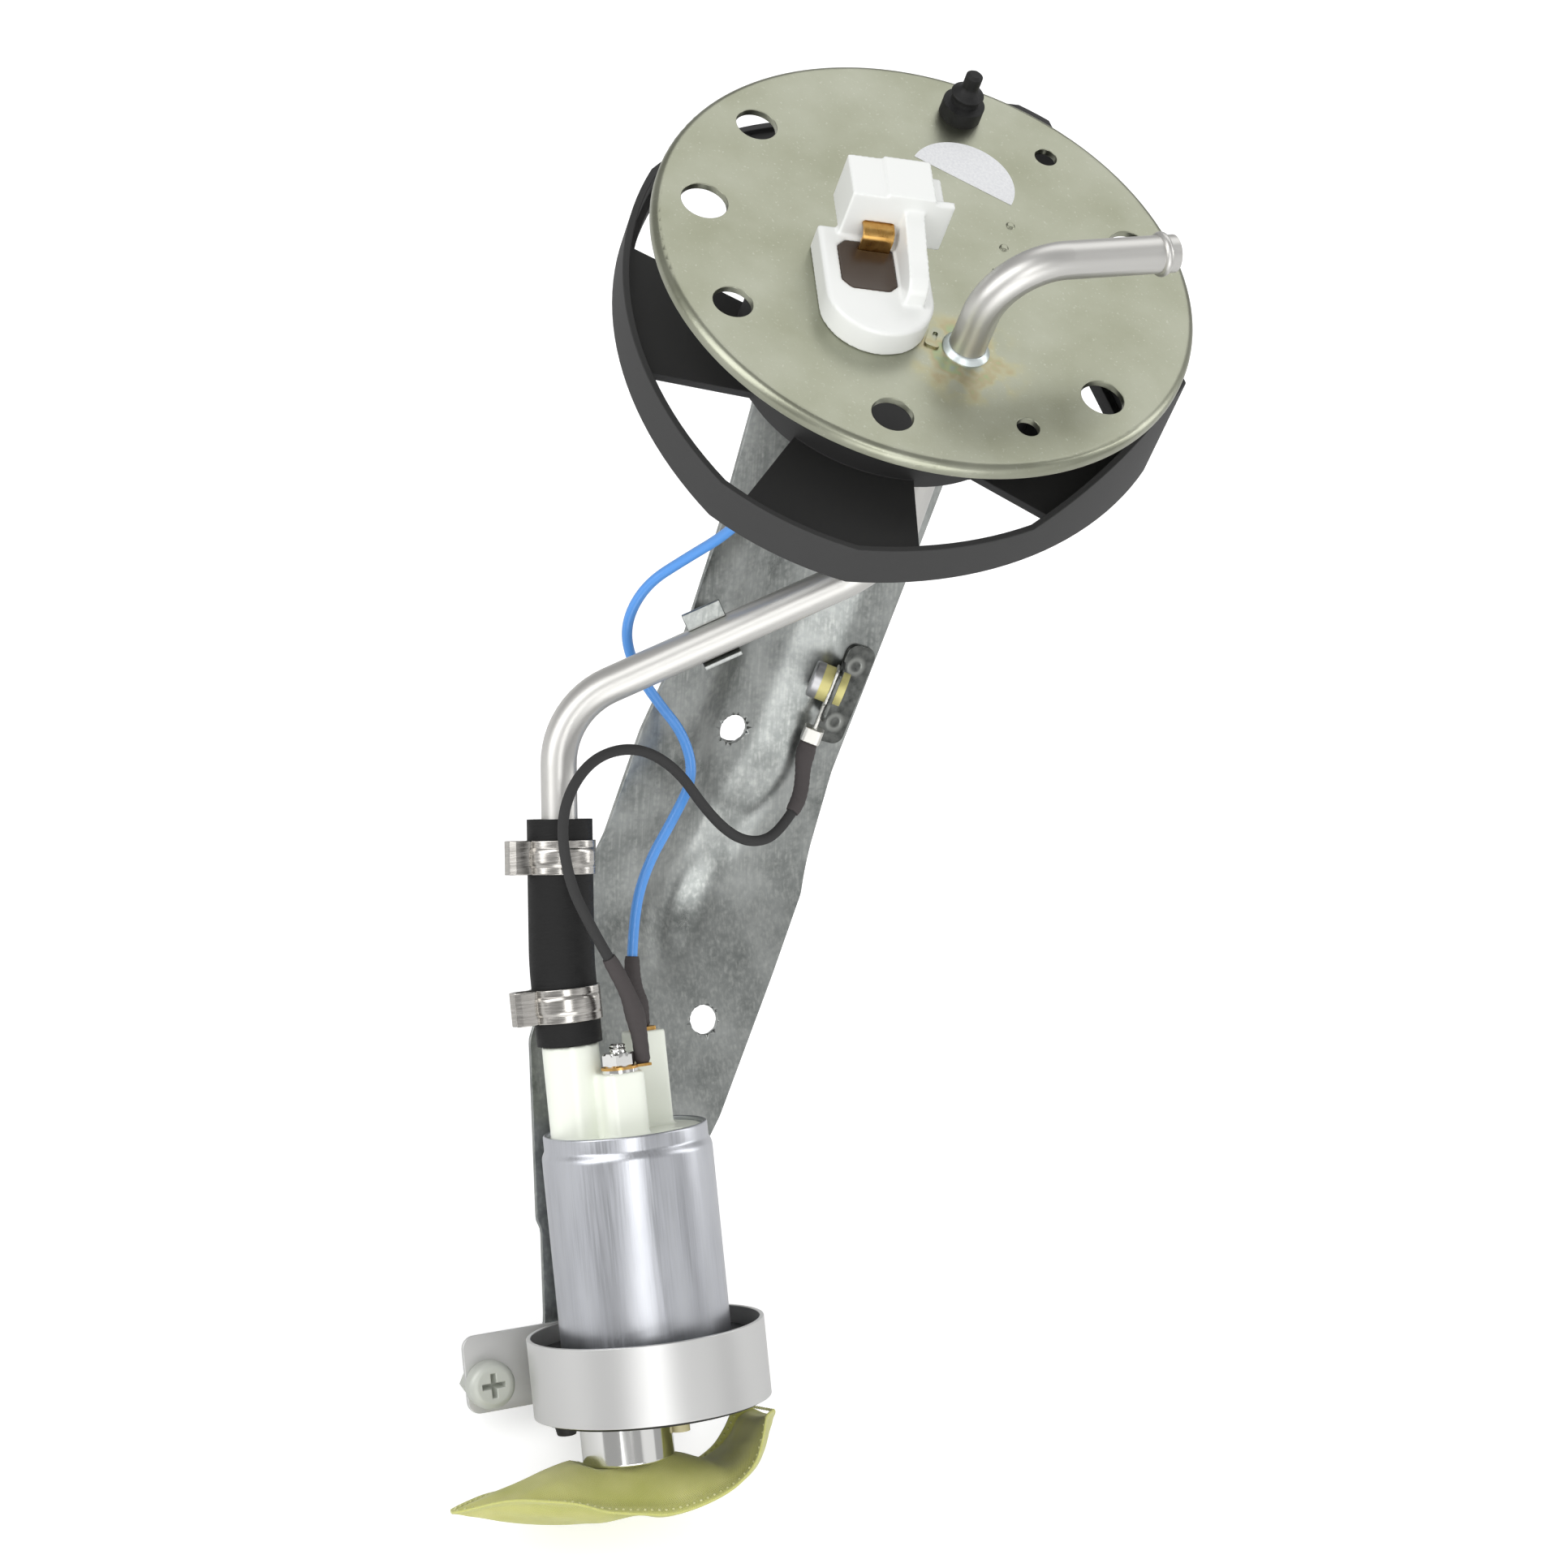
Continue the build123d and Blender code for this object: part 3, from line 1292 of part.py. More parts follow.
# Strap: hugs the cup, folds back into an ear on the left and hooks the bracket on the right
strap_inner_r = cup_r + seat_gap
strap_outer_r = strap_inner_r + strap_t
ear_front_v = bracket_front_v + strap_t + seat_gap
hook_w = strap_edge_w + seat_gap
hook_back_v = bracket_front_v - sheet_t - seat_gap
with BuildPart() as strap:
    with BuildSketch(hang.offset(strap_bottom)):
        Circle(strap_outer_r)
        Circle(strap_inner_r, mode=Mode.SUBTRACT)
        with Locations((-strap_outer_r, (hook_w + strap_t - strap_gap_left) / 2)):
            Rectangle(2 * strap_gap_depth, hook_w + strap_t + strap_gap_left, mode=Mode.SUBTRACT)
        with Locations((ear_front_v - strap_t / 2, (strap_ear_w + ear_start_w) / 2)):
            Rectangle(strap_t, ear_start_w - strap_ear_w)
        with Locations(((hook_start_v + hook_back_v - strap_t) / 2, hook_w + strap_t / 2)):
            Rectangle(hook_start_v - hook_back_v + strap_t, strap_t)
        with Locations((hook_back_v - strap_t / 2, hook_w - hook_lap / 2)):
            Rectangle(strap_t, hook_lap + 2 * strap_t)
    extrude(amount=strap_height)
    with BuildSketch(Plane(in_hang(0, screw_w, screw_u), x_dir=(0, 1, 0), z_dir=front)):
        Circle(screw_r + fit_gap)
    extrude(amount=-2 * cup_r, mode=Mode.SUBTRACT)
    ear_edges = strap.edges().filter_by(Axis(hang.origin, front)).sort_by(Axis.Y)
    fillet(ear_edges[:2], ear_corner)
finish(strap.part, "strap")

# Strap screw and the nut welded behind the bracket
screw_plane = Plane(in_hang(ear_front_v + seat_gap, screw_w, screw_u), x_dir=(0, 1, 0), z_dir=front)
nut_face_v = bracket_front_v - sheet_t - seat_gap
with BuildPart() as strap_screw:
    with BuildSketch(screw_plane):
        Circle(screw_head_r)
    extrude(amount=screw_head_height)
    fillet(strap_screw.edges().sort_by(Axis(screw_plane.origin, front))[-1], 1.8)
    with BuildSketch(screw_plane.offset(screw_head_height)):
        Rectangle(recess_width, recess_length)
        Rectangle(recess_length, recess_width)
    extrude(amount=-recess_depth, taper=12, mode=Mode.SUBTRACT)
    with BuildSketch(screw_plane):
        Circle(screw_r)
    extrude(amount=-(ear_front_v - nut_face_v + nut_t + screw_end))
finish(strap_screw.part, "strap_screw")

with BuildPart() as weld_nut:
    with BuildSketch(Plane(in_hang(nut_face_v, screw_w, screw_u), x_dir=(0, 1, 0), z_dir=front)):
        RegularPolygon(nut_across_flats / 2, 6, major_radius=False)
        Circle(screw_r + seat_gap, mode=Mode.SUBTRACT)
    extrude(amount=-nut_t)
finish(weld_nut.part, "weld_nut")

# Strainer bag: its side outline cut to the plan outline
sock_top = [(w, collar_bottom + u) for w, u in sock_top_line]
sock_bottom = [(w, collar_bottom + u) for w, u in sock_bottom_line]
with BuildPart() as filter_sock:
    with BuildSketch(Plane(hang.origin, x_dir=hang.y_dir, z_dir=front)):
        with BuildLine():
            Spline(*sock_top)
            Polyline(sock_top[-1], sock_bottom[0])
            Spline(*sock_bottom)
            Polyline(sock_bottom[-1], sock_top[0])
        make_face()
    extrude(amount=sock_half_depth, both=True)
    with BuildSketch(hang.offset(collar_bottom)):
        with Locations((0, sock_body[0])):
            Ellipse(sock_half_depth, sock_body[1])
        with Locations((0, sock_right_end[0])):
            RectangleRounded(2 * sock_half_depth - sock_corner, sock_right_end[1], sock_corner)
        with Locations((0, sock_left_tip[0])):
            RectangleRounded(2 * sock_half_depth - 2 * sock_corner, sock_left_tip[1], sock_corner)
    extrude(amount=1.5 * sock_half_depth, both=True, mode=Mode.INTERSECT)
finish(filter_sock.part, "filter_sock")

# Hose: straight on the nipple, leaning with the pipe above it
hose_top_w = outlet_w + (hose_top - hose_bend_u) * tan(radians(pipe_lean))
hose_points = [in_hang(0, outlet_w, hose_bottom), in_hang(0, outlet_w, hose_bend_u), in_hang(0, hose_top_w, hose_top)]
with BuildPart() as hose:
    with BuildLine() as hose_line:
        FilletPolyline(*hose_points, radius=hose_bend_r)
    with BuildSketch(hang.offset(hose_bottom)):
        with Locations((0, outlet_w)):
            Circle(hose_r)
            Circle(nipple_r + seat_gap, mode=Mode.SUBTRACT)
    sweep(path=hose_line.line)
finish(hose.part, "hose")

# Hose clamps: a band with a pinched ear on its left
lean_up = (hose_points[2] - hose_points[1]).normalized()
lower_clamp_plane = Plane(in_hang(0, outlet_w, clamp_low_u), x_dir=front, z_dir=up)
upper_clamp_w = outlet_w + (clamp_high_u - hose_bend_u) * tan(radians(pipe_lean))
upper_clamp_plane = Plane(in_hang(0, upper_clamp_w, clamp_high_u), x_dir=front, z_dir=lean_up)
for clamp_plane, name in ((lower_clamp_plane, "lower_hose_clamp"), (upper_clamp_plane, "upper_hose_clamp")):
    with BuildPart() as clamp:
        with BuildSketch(clamp_plane):
            Circle(hose_r + seat_gap + clamp_t)
            with Locations((0, -hose_r - clamp_ear_height / 2)):
                Rectangle(clamp_ear_width, clamp_ear_height + 2.0)
            with Locations((0, -hose_r - clamp_ear_height / 2)):
                Rectangle(clamp_ear_width - 2 * clamp_t, clamp_ear_height + 2.0 - 2 * clamp_t, mode=Mode.SUBTRACT)
            Circle(hose_r + seat_gap, mode=Mode.SUBTRACT)
        extrude(amount=clamp_width)
    finish(clamp.part, name)

# Front terminal: stud, washer, brass eyelet and nut on the front post
with BuildPart() as terminal_stud:
    with BuildSketch(hang.offset(front_post_top)):
        with Locations(front_post):
            Circle(stud_r)
    extrude(amount=stud_top - front_post_top)
finish(terminal_stud.part, "terminal_stud")

with BuildPart() as terminal_washer:
    with BuildSketch(hang.offset(front_post_top)):
        with Locations(front_post):
            Circle(washer_r)
            Circle(stud_r + seat_gap, mode=Mode.SUBTRACT)
    extrude(amount=washer_t)
finish(terminal_washer.part, "terminal_washer")

eyelet_plane = hang.offset(front_post_top + washer_t)
with BuildPart() as brass_eyelet:
    with BuildSketch(eyelet_plane):
        with Locations(front_post):
            Circle(eyelet_r)
        with Locations((front_post[0], front_post[1] + 4.4)):
            Rectangle(*eyelet_tail)
        with Locations(front_post):
            Circle(stud_r + seat_gap, mode=Mode.SUBTRACT)
    extrude(amount=eyelet_t)
finish(brass_eyelet.part, "brass_eyelet")

with BuildPart() as terminal_nut:
    with BuildSketch(eyelet_plane.offset(eyelet_t)):
        with Locations(front_post):
            RegularPolygon(terminal_nut_flats / 2, 6, major_radius=False)
            Circle(stud_r + seat_gap, mode=Mode.SUBTRACT)
    extrude(amount=terminal_nut_t)
finish(terminal_nut.part, "terminal_nut")

with BuildPart() as rear_terminal:
    with BuildSketch(hang.offset(rear_post_top)):
        with Locations(rear_post):
            RectangleRounded(5.0, 5.0, 0.8)
    extrude(amount=terminal_t)
finish(rear_terminal.part, "rear_terminal")


def shrink_sleeve(foot, foot_direction, wire_end, wire_direction, name):
    """A heat-shrink sleeve that leaves its foot square and meets the wire's end square."""
    points = [
        foot,
        foot + foot_direction * sleeve_straight,
        wire_end - wire_direction * sleeve_straight,
        wire_end,
    ]
    with BuildPart() as sleeve:
        with BuildLine() as sleeve_line:
            FilletPolyline(*points, radius=sleeve_bend_r)
        with BuildSketch(Plane(foot, z_dir=foot_direction)):
            Circle(shrink_r)
        sweep(path=sleeve_line.line)
    finish(sleeve.part, name)


def route_end(route, end):
    """End point of a wire route and the direction in which the wire leaves it."""
    points = [Vector(*point) for point in route]
    if end == "first":
        return points[0], (points[1] - points[0]).normalized()
    return points[-1], (points[-2] - points[-1]).normalized()


crimp_end = terminal_face.from_local_coords((crimp_reach + crimp_length + seat_gap, 0, crimp_off))
shrink_sleeve(crimp_end, -earth_up, *route_end(black_wire_route, "first"), "earth_sleeve")
barrel_w = front_post[1] + barrel_offset
eyelet_barrel = in_hang(front_post[0], barrel_w, front_post_top + washer_t + eyelet_t + seat_gap)
shrink_sleeve(eyelet_barrel, up, *route_end(black_wire_route, "last"), "front_sleeve")
rear_foot = in_hang(*rear_post, rear_post_top + terminal_t + seat_gap)
shrink_sleeve(rear_foot, up, *route_end(blue_wire_route, "last"), "rear_sleeve")

for route, name in ((black_wire_route, "black_wire"), (blue_wire_route, "blue_wire")):
    with BuildPart() as wire:
        with BuildLine() as wire_line:
            FilletPolyline(*route, radius=cord_radii(name, route))
        with BuildSketch(Plane(route[0], z_dir=Vector(*route[1]) - Vector(*route[0]))):
            Circle(wire_r)
        sweep(path=wire_line.line)
    print(name, "volume", round(wire.part.volume, 1), "section times length",
          round(pi * wire_r ** 2 * wire_line.wire().length, 1))
    finish(wire.part, name)
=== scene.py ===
"""Dresses the fuel pump module: fine shapes, real finishes, floor, light and camera."""
from bisect import bisect_right
from math import atan2, cos, exp, pi, radians, sin, tan, tau

import bmesh
import bpy
from mathutils import Matrix, Vector, noise
from mathutils.geometry import delaunay_2d_cdt, intersect_point_line


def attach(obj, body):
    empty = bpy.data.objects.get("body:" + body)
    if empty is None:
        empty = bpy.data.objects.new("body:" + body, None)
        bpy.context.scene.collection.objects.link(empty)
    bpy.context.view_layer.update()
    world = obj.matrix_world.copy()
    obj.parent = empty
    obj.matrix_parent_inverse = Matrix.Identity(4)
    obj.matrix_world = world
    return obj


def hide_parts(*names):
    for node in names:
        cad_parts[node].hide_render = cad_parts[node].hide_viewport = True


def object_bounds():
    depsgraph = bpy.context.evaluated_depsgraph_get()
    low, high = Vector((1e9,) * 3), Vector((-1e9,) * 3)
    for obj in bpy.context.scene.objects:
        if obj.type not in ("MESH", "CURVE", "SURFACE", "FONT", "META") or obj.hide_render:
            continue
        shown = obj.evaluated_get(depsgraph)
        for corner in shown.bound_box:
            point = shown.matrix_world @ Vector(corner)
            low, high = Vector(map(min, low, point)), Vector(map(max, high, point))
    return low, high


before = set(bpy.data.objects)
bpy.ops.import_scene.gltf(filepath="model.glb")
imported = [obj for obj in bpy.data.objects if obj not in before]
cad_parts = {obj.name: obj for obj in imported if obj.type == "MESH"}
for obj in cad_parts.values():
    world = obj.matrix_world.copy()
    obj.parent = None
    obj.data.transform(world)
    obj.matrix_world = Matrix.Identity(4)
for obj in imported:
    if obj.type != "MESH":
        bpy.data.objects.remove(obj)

bl_info = {
    "name": "Fuel Pump Module",
    "version": (1, 0, 0),
    "blender": (4, 5, 0),
    "location": "View3D > Sidebar > Fuel Pump",
    "description": "Shapes, finishes, light and camera for an in-tank fuel pump module",
    "category": "Object",
}

MM = 0.001
CAD_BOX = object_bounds()

# Directions of the leaning pump: out of its top, out of its front, and to its right
LEAN = radians(52.0)
UP = Vector((-sin(LEAN), 0, cos(LEAN)))
FRONT = Vector((cos(LEAN), 0, sin(LEAN)))
SIDE = Vector((0, 1, 0))
PUMP_TOP = Vector((103.0, -63.0, -161.4)) * MM
PUMP_TURN = Matrix((FRONT, SIDE, UP)).transposed()

# Directions of the bracket's upper panel and the foot of its slope
PANEL_ANGLE = radians(30.0)
PANEL_UP = Vector((-sin(PANEL_ANGLE), 0, cos(PANEL_ANGLE)))
PANEL_OUT = Vector((cos(PANEL_ANGLE), 0, sin(PANEL_ANGLE)))

# Connector's own turned frame on the plate
PLATE_TOP = 1.6
CONNECTOR_TURN = radians(-14.5)

# Sizes in millimetres that the pieces share with the solids
PIPE_FOOT = (26.25, -1.3)
HOSE_R = 7.25
OUTLET_W = -10.9
PIPE_LEAN = radians(5.3)
CLAMPS = {"lower_hose_clamp": 25.4, "upper_hose_clamp": 57.6}
HOSE_BEND_U = 38.0
FRONT_POST = (8.0, -3.0)
FRONT_POST_TOP = 13.3
REAR_POST = (-5.0, 8.6)
REAR_POST_TOP = 20.4
CASE_LENGTH = 61.5
COLLAR_BOTTOM = -73.1
INLET_W = -7.0

BLACK_WIRE_ROUTE = (
    (45.7, -10.2, -129.9),
    (49.5, -14.4, -132.5),
    (52.0, -21.2, -131.4),
    (52.3, -28.4, -127.0),
    (50.2, -36.2, -119.0),
    (44.9, -44.6, -108.4),
    (42.6, -55.6, -101.7),
    (45.8, -67.8, -100.8),
    (54.7, -75.9, -106.5),
    (65.9, -75.7, -115.3),
    (73.6, -71.9, -122.0),
    (79.9, -67.5, -127.9),
)
BLUE_WIRE_ROUTE = (
    (7.1, -16.6, -7.1),
    (8.3, -17.4, -21.4),
    (15.6, -22.5, -40.4),
    (19.2, -30.4, -49.0),
    (16.6, -34.3, -63.5),
    (12.7, -39.7, -75.6),
    (10.9, -46.2, -85.6),
    (14.2, -50.0, -94.6),
    (19.7, -48.7, -101.4),
    (26.9, -43.6, -107.0),
    (33.5, -37.6, -112.2),
    (41.2, -36.2, -118.2),
    (48.2, -42.4, -123.7),
    (55.1, -49.3, -129.7),
    (62.8, -53.6, -136.3),
    (70.7, -55.1, -142.5),
)


def in_hang(v, w, u):
    """A point given in millimetres as front, side and height along the leaning pump."""
    return PUMP_TOP + (FRONT * v + SIDE * w + UP * u) * MM


def hang_place(v, w, u):
    """Placement whose Z runs up the pump's axis, at that point."""
    return Matrix.Translation(in_hang(v, w, u)) @ PUMP_TURN.to_4x4()


def on_connector(a, b, h):
    """A point in metres given along, across and above the connector's base."""
    x = a * cos(CONNECTOR_TURN) - b * sin(CONNECTOR_TURN)
    y = a * sin(CONNECTOR_TURN) + b * cos(CONNECTOR_TURN)
    return Vector((x, y, h + PLATE_TOP)) * MM


def srgb(code):
    """Linear colour with alpha from an sRGB hex code."""
    parts = [int(code[i:i + 2], 16) / 255 for i in (1, 3, 5)]
    return tuple(c / 12.92 if c <= 0.04045 else ((c + 0.055) / 1.055) ** 2.4 for c in parts) + (1.0,)


def node(tree, kind, inputs=(), **settings):
    """One node with its settings; an input takes a value or a socket to link."""
    made = tree.nodes.new(kind)
    for key, value in settings.items():
        setattr(made, key, value)
    for key, value in dict(inputs).items():
        if isinstance(value, bpy.types.NodeSocket):
            tree.links.new(value, made.inputs[key])
        else:
            made.inputs[key].default_value = value
    return made


def new_finish(name, sockets):
    """A principled material with the values that are the same all over it."""
    material = bpy.data.materials.new(name)
    material.use_nodes = True
    tree = material.node_tree
    shader = tree.nodes["Principled BSDF"]
    for key, value in sockets.items():
        shader.inputs[key].default_value = value
    return material, tree, shader


def grain(tree, size, detail=2.0, stretch=1.0, turn=(0, 0, 0), spread=(0.3, 0.7)):
    """Noise with features of a size in mm, drawn out along the turned Z axis, from 0 to 1."""
    place = node(tree, "ShaderNodeTexCoord").outputs["Object"]
    if stretch != 1.0:
        place = node(tree, "ShaderNodeMapping", {"Vector": place, "Rotation": turn, "Scale": (1, 1, stretch)},
                     vector_type="TEXTURE").outputs[0]
    cloud = node(tree, "ShaderNodeTexNoise", {"Vector": place, "Scale": 1 / (size * MM), "Detail": detail})
    return node(tree, "ShaderNodeMapRange", {"Value": cloud.outputs[0], "From Min": spread[0], "From Max": spread[1]},
                clamp=True).outputs[0]


def near(tree, place, inner, outer):
    """One at a point in mm, falling to nothing between an inner and an outer distance in mm."""
    here = node(tree, "ShaderNodeTexCoord").outputs["Object"]
    gap = node(tree, "ShaderNodeVectorMath", {0: here, 1: Vector(place) * MM}, operation="DISTANCE")
    return node(tree, "ShaderNodeMapRange", {"Value": gap.outputs["Value"], "From Min": outer * MM,
                                             "From Max": inner * MM}, interpolation_type="SMOOTHSTEP").outputs[0]


def blend_colour(tree, factor, first, second):
    """A colour between two, each a hex code or a colour socket."""
    pair = [srgb(c) if isinstance(c, str) else c for c in (first, second)]
    return node(tree, "ShaderNodeMix", {0: factor, 6: pair[0], 7: pair[1]}, data_type="RGBA").outputs[2]


def between(tree, factor, low, high):
    """A number between two, for roughness."""
    return node(tree, "ShaderNodeMapRange", {"Value": factor, "To Min": low, "To Max": high}).outputs[0]


def dress(tree, shader, colour=None, roughness=None, relief=None, depth=0.05):
    """Links colour, roughness and a relief of that depth in mm to the shader."""
    if colour is not None:
        tree.links.new(colour, shader.inputs["Base Color"])
    if roughness is not None:
        tree.links.new(roughness, shader.inputs["Roughness"])
    if relief is not None:
        bump = node(tree, "ShaderNodeBump", {"Height": relief, "Distance": depth * MM, "Strength": 1.0})
        tree.links.new(bump.outputs[0], shader.inputs["Normal"])


ALONG_PUMP = PUMP_TURN.to_euler()


# Finishes of the pressed plate and what is brazed to it
def olive_chromate():
    """Pressed steel, zinc plated and olive chromated: dull khaki film, cloudy, with fine specks and heat stain."""
    material, tree, shader = new_finish("olive chromate on pressed steel", {"Metallic": 1.0})
    cloud = grain(tree, 22.0, 4.0)
    speck = grain(tree, 0.5, 2.0, spread=(0.35, 0.65))
    colour = blend_colour(tree, cloud, wm().plate_dark_hex, wm().plate_light_hex)
    dust = node(tree, "ShaderNodeMath", {0: grain(tree, 0.7, 1.0, spread=(0.66, 0.78)), 1: 0.2}, operation="MULTIPLY")
    colour = blend_colour(tree, dust.outputs[0], colour, "#d8d8cc")
    halo = near(tree, (PIPE_FOOT[0] + 3.0, PIPE_FOOT[1] - 1.0, PLATE_TOP), 4.0, 17.0)
    ripple = grain(tree, 6.0, 2.0, spread=(0.35, 0.65))
    stain = node(tree, "ShaderNodeMath", {0: halo, 1: ripple}, operation="MULTIPLY").outputs[0]
    heat = node(tree, "ShaderNodeValToRGB", {"Fac": stain})
    heat.color_ramp.elements[0].color = srgb("#9b9d88")
    heat.color_ramp.elements[1].color = srgb("#8d9a93")
    heat.color_ramp.elements[1].position = 0.85
    for at, code in ((0.25, "#b8ab6a"), (0.45, "#a98f55"), (0.62, "#8fa06a")):
        heat.color_ramp.elements.new(at).color = srgb(code)
    share = node(tree, "ShaderNodeMath", {0: stain, 1: 0.9}, operation="MULTIPLY", use_clamp=True).outputs[0]
    colour = blend_colour(tree, share, colour, heat.outputs[0])
    dress(tree, shader, colour, between(tree, cloud, 0.3, 0.38), speck, 0.005)
    return material


def steel_tube():
    """Drawn steel tube, satin: streaks along the draw and a soft mottle."""
    material, tree, shader = new_finish("satin drawn steel tube", {"Metallic": 1.0})
    cloud = grain(tree, 3.0, 4.0)
    fine = grain(tree, 0.4, 2.0)
    colour = blend_colour(tree, cloud, "#9c9a95", "#bab8b3")
    dress(tree, shader, colour, between(tree, cloud, 0.24, 0.34), fine, 0.01)
    return material


def braze_metal():
    """Silver braze, frosted: pale blue-white with a fine crust."""
    material, tree, shader = new_finish("frosted silver braze", {"Metallic": 0.8})
    crust = grain(tree, 0.7, 4.0)
    dress(tree, shader, blend_colour(tree, crust, "#8f9d9c", "#cfdcdb"), between(tree, crust, 0.35, 0.6), crust, 0.12)
    return material


def paper_label():
    """Blank paper label: matt white with faint fibres."""
    material, tree, shader = new_finish("blank paper label", {"Roughness": 0.75})
    fibre = grain(tree, 0.6, 5.0)
    dress(tree, shader, blend_colour(tree, fibre, "#dcdde0", "#eaebec"), None, fibre, 0.01)
    return material


def moulded_rubber():
    """Moulded black rubber: matt, faint grain from the mould."""
    material, tree, shader = new_finish("moulded black rubber", {"Specular IOR Level": 0.35})
    fine = grain(tree, 0.35, 3.0)
    cloud = grain(tree, 3.0, 3.0)
    dress(tree, shader, blend_colour(tree, cloud, "#131313", "#232323"), between(tree, cloud, 0.48, 0.66), fine, 0.02)
    return material


# Finishes of the connector
def white_nylon():
    """Natural white nylon moulding: light goes a little way in, edges glow, satin skin."""
    material, tree, shader = new_finish("natural white nylon", {
        "IOR": 1.53, "Subsurface Weight": 0.6, "Subsurface Scale": 0.0012,
        "Subsurface Radius": (1.0, 0.98, 0.94), "Roughness": 0.38})
    cloud = grain(tree, 5.0, 3.0)
    fine = grain(tree, 0.6, 2.0)
    dress(tree, shader, blend_colour(tree, cloud, "#e0e2e2", "#eceeee"), None, fine, 0.008)
    return material


def potting_resin():
    """Poured epoxy, brown-black and glossy, with a slow ripple."""
    material, tree, shader = new_finish("poured potting resin", {"Roughness": 0.05, "Specular IOR Level": 0.08})
    cloud = grain(tree, 3.5, 2.0)
    dress(tree, shader, blend_colour(tree, cloud, "#070302", "#120a06"), None, cloud, 0.06)
    return material


def rolled_brass():
    """Rolled brass strip: warm yellow with brown tarnish and rolling lines."""
    material, tree, shader = new_finish("rolled brass strip", {"Metallic": 1.0})
    lines = grain(tree, 0.5, 3.0, stretch=20.0)
    cloud = grain(tree, 1.6, 3.0)
    colour = blend_colour(tree, cloud, "#b98a45", "#e0b873")
    dress(tree, shader, blend_colour(tree, lines, colour, "#cda05c"), between(tree, cloud, 0.26, 0.36), lines, 0.003)
    return material


# Finishes of the bracket and the earth point
def galvanised_sheet():
    """Hot-dip galvanised sheet: smoky grey with a fine spangle, and pale streaks on the spangle that are partly roller
    marks and partly painted highlight.
    """
    material, tree, shader = new_finish("galvanised sheet", {"Metallic": 1.0})
    cloud = grain(tree, 12.0, 5.0, spread=(0.25, 0.75))
    spangle = grain(tree, 1.3, 2.0, spread=(0.35, 0.65))
    streaks = grain(tree, 0.6, 3.0, stretch=30.0, turn=(0, -PANEL_ANGLE, 0))
    smoke = blend_colour(tree, cloud, wm().sheet_dark_hex, wm().sheet_light_hex)
    # Pale colour where spangle and streaks meet: partly real spangle, partly a painted highlight standing in for
    # bright reflected streaks.
    share = node(tree, "ShaderNodeMath", {0: spangle, 1: streaks}, operation="MULTIPLY").outputs[0]
    colour = blend_colour(tree, node(tree, "ShaderNodeMath", {0: share, 1: 0.5}, operation="MULTIPLY").outputs[0],
                          smoke, "#c2c4c0")
    dress(tree, shader, colour, between(tree, cloud, 0.26, 0.36), spangle, 0.0025)
    return material


def welded_strip():
    """Galvanised strip, darker than the sheet, with two spot welds: dimples in wavy bright rings."""
    material, tree, shader = new_finish("spot-welded galvanised strip", {"Metallic": 1.0})
    cloud = grain(tree, 2.0, 4.0)
    rings = None
    for y, s in ((7.7, 50.0), (3.3, 36.8)):
        spot = on_panel(y, s, 0.9) / MM
        ring = node(tree, "ShaderNodeMath", {0: near(tree, spot, 1.7, 2.7), 1: near(tree, spot, 0.9, 1.6)},
                    operation="SUBTRACT").outputs[0]
        rings = ring if rings is None else node(tree, "ShaderNodeMath", {0: rings, 1: ring}).outputs[0]
    colour = blend_colour(tree, rings, blend_colour(tree, cloud, "#4c4e4c", "#777976"), "#8f918d")
    dress(tree, shader, colour, between(tree, cloud, 0.26, 0.42), rings, 0.12)
    return material


def yellow_zinc():
    """Yellow chromated zinc: straw colour that turns green and pink with the plating's depth."""
    material, tree, shader = new_finish("yellow chromated zinc", {"Metallic": 1.0, "Roughness": 0.3})
    cloud = grain(tree, 1.2, 3.0)
    dress(tree, shader, blend_colour(tree, cloud, "#8f8a3c", "#d2c368"), None, cloud, 0.01)
    return material


def tinned_brass():
    """Tinned brass stamping: bright pale metal, faint tool marks."""
    material, tree, shader = new_finish("tinned brass stamping", {"Metallic": 1.0})
    cloud = grain(tree, 1.5, 3.0)
    dress(tree, shader, blend_colour(tree, cloud, "#a9a79f", "#cfcdc6"), between(tree, cloud, 0.2, 0.34), cloud, 0.015)
    return material


# Finishes of the pump
def brushed_aluminium():
    """Drawn aluminium, brushed along the case: bluish white with long fine lines."""
    material, tree, shader = new_finish("brushed drawn aluminium", {"Metallic": 1.0})
    lines = grain(tree, 0.35, 3.0, stretch=45.0, turn=ALONG_PUMP)
    cloud = grain(tree, 7.0, 4.0, stretch=4.0, turn=ALONG_PUMP)
    colour = blend_colour(tree, cloud, "#b0b2b7", "#ccced2")
    dress(tree, shader, blend_colour(tree, lines, colour, "#c6c8ce"), between(tree, lines, 0.3, 0.4), lines, 0.006)
    return material


def cream_nylon():
    """Cream-green acetal moulding: light goes in, edges glow, satin skin."""
    material, tree, shader = new_finish("cream acetal", {
        "IOR": 1.48, "Subsurface Weight": 0.5, "Subsurface Scale": 0.0016,
        "Subsurface Radius": (0.9, 1.0, 0.8), "Roughness": 0.32})
    cloud = grain(tree, 6.0, 3.0)
    dress(tree, shader, blend_colour(tree, cloud, "#dce2cd", "#e8ecdb"), None, grain(tree, 0.8, 2.0), 0.008)
    return material


def black_moulding():
    """Black filled nylon moulding: near black, satin, orange-peel skin and flow marks."""
    material, tree, shader = new_finish("black filled nylon", {"Specular IOR Level": 0.17})
    cloud = grain(tree, 6.0, 4.0)
    fine = grain(tree, 0.7, 3.0)
    dress(tree, shader, blend_colour(tree, cloud, "#070708", "#0f0f10"), between(tree, cloud, 0.4, 0.54), fine, 0.02)
    return material


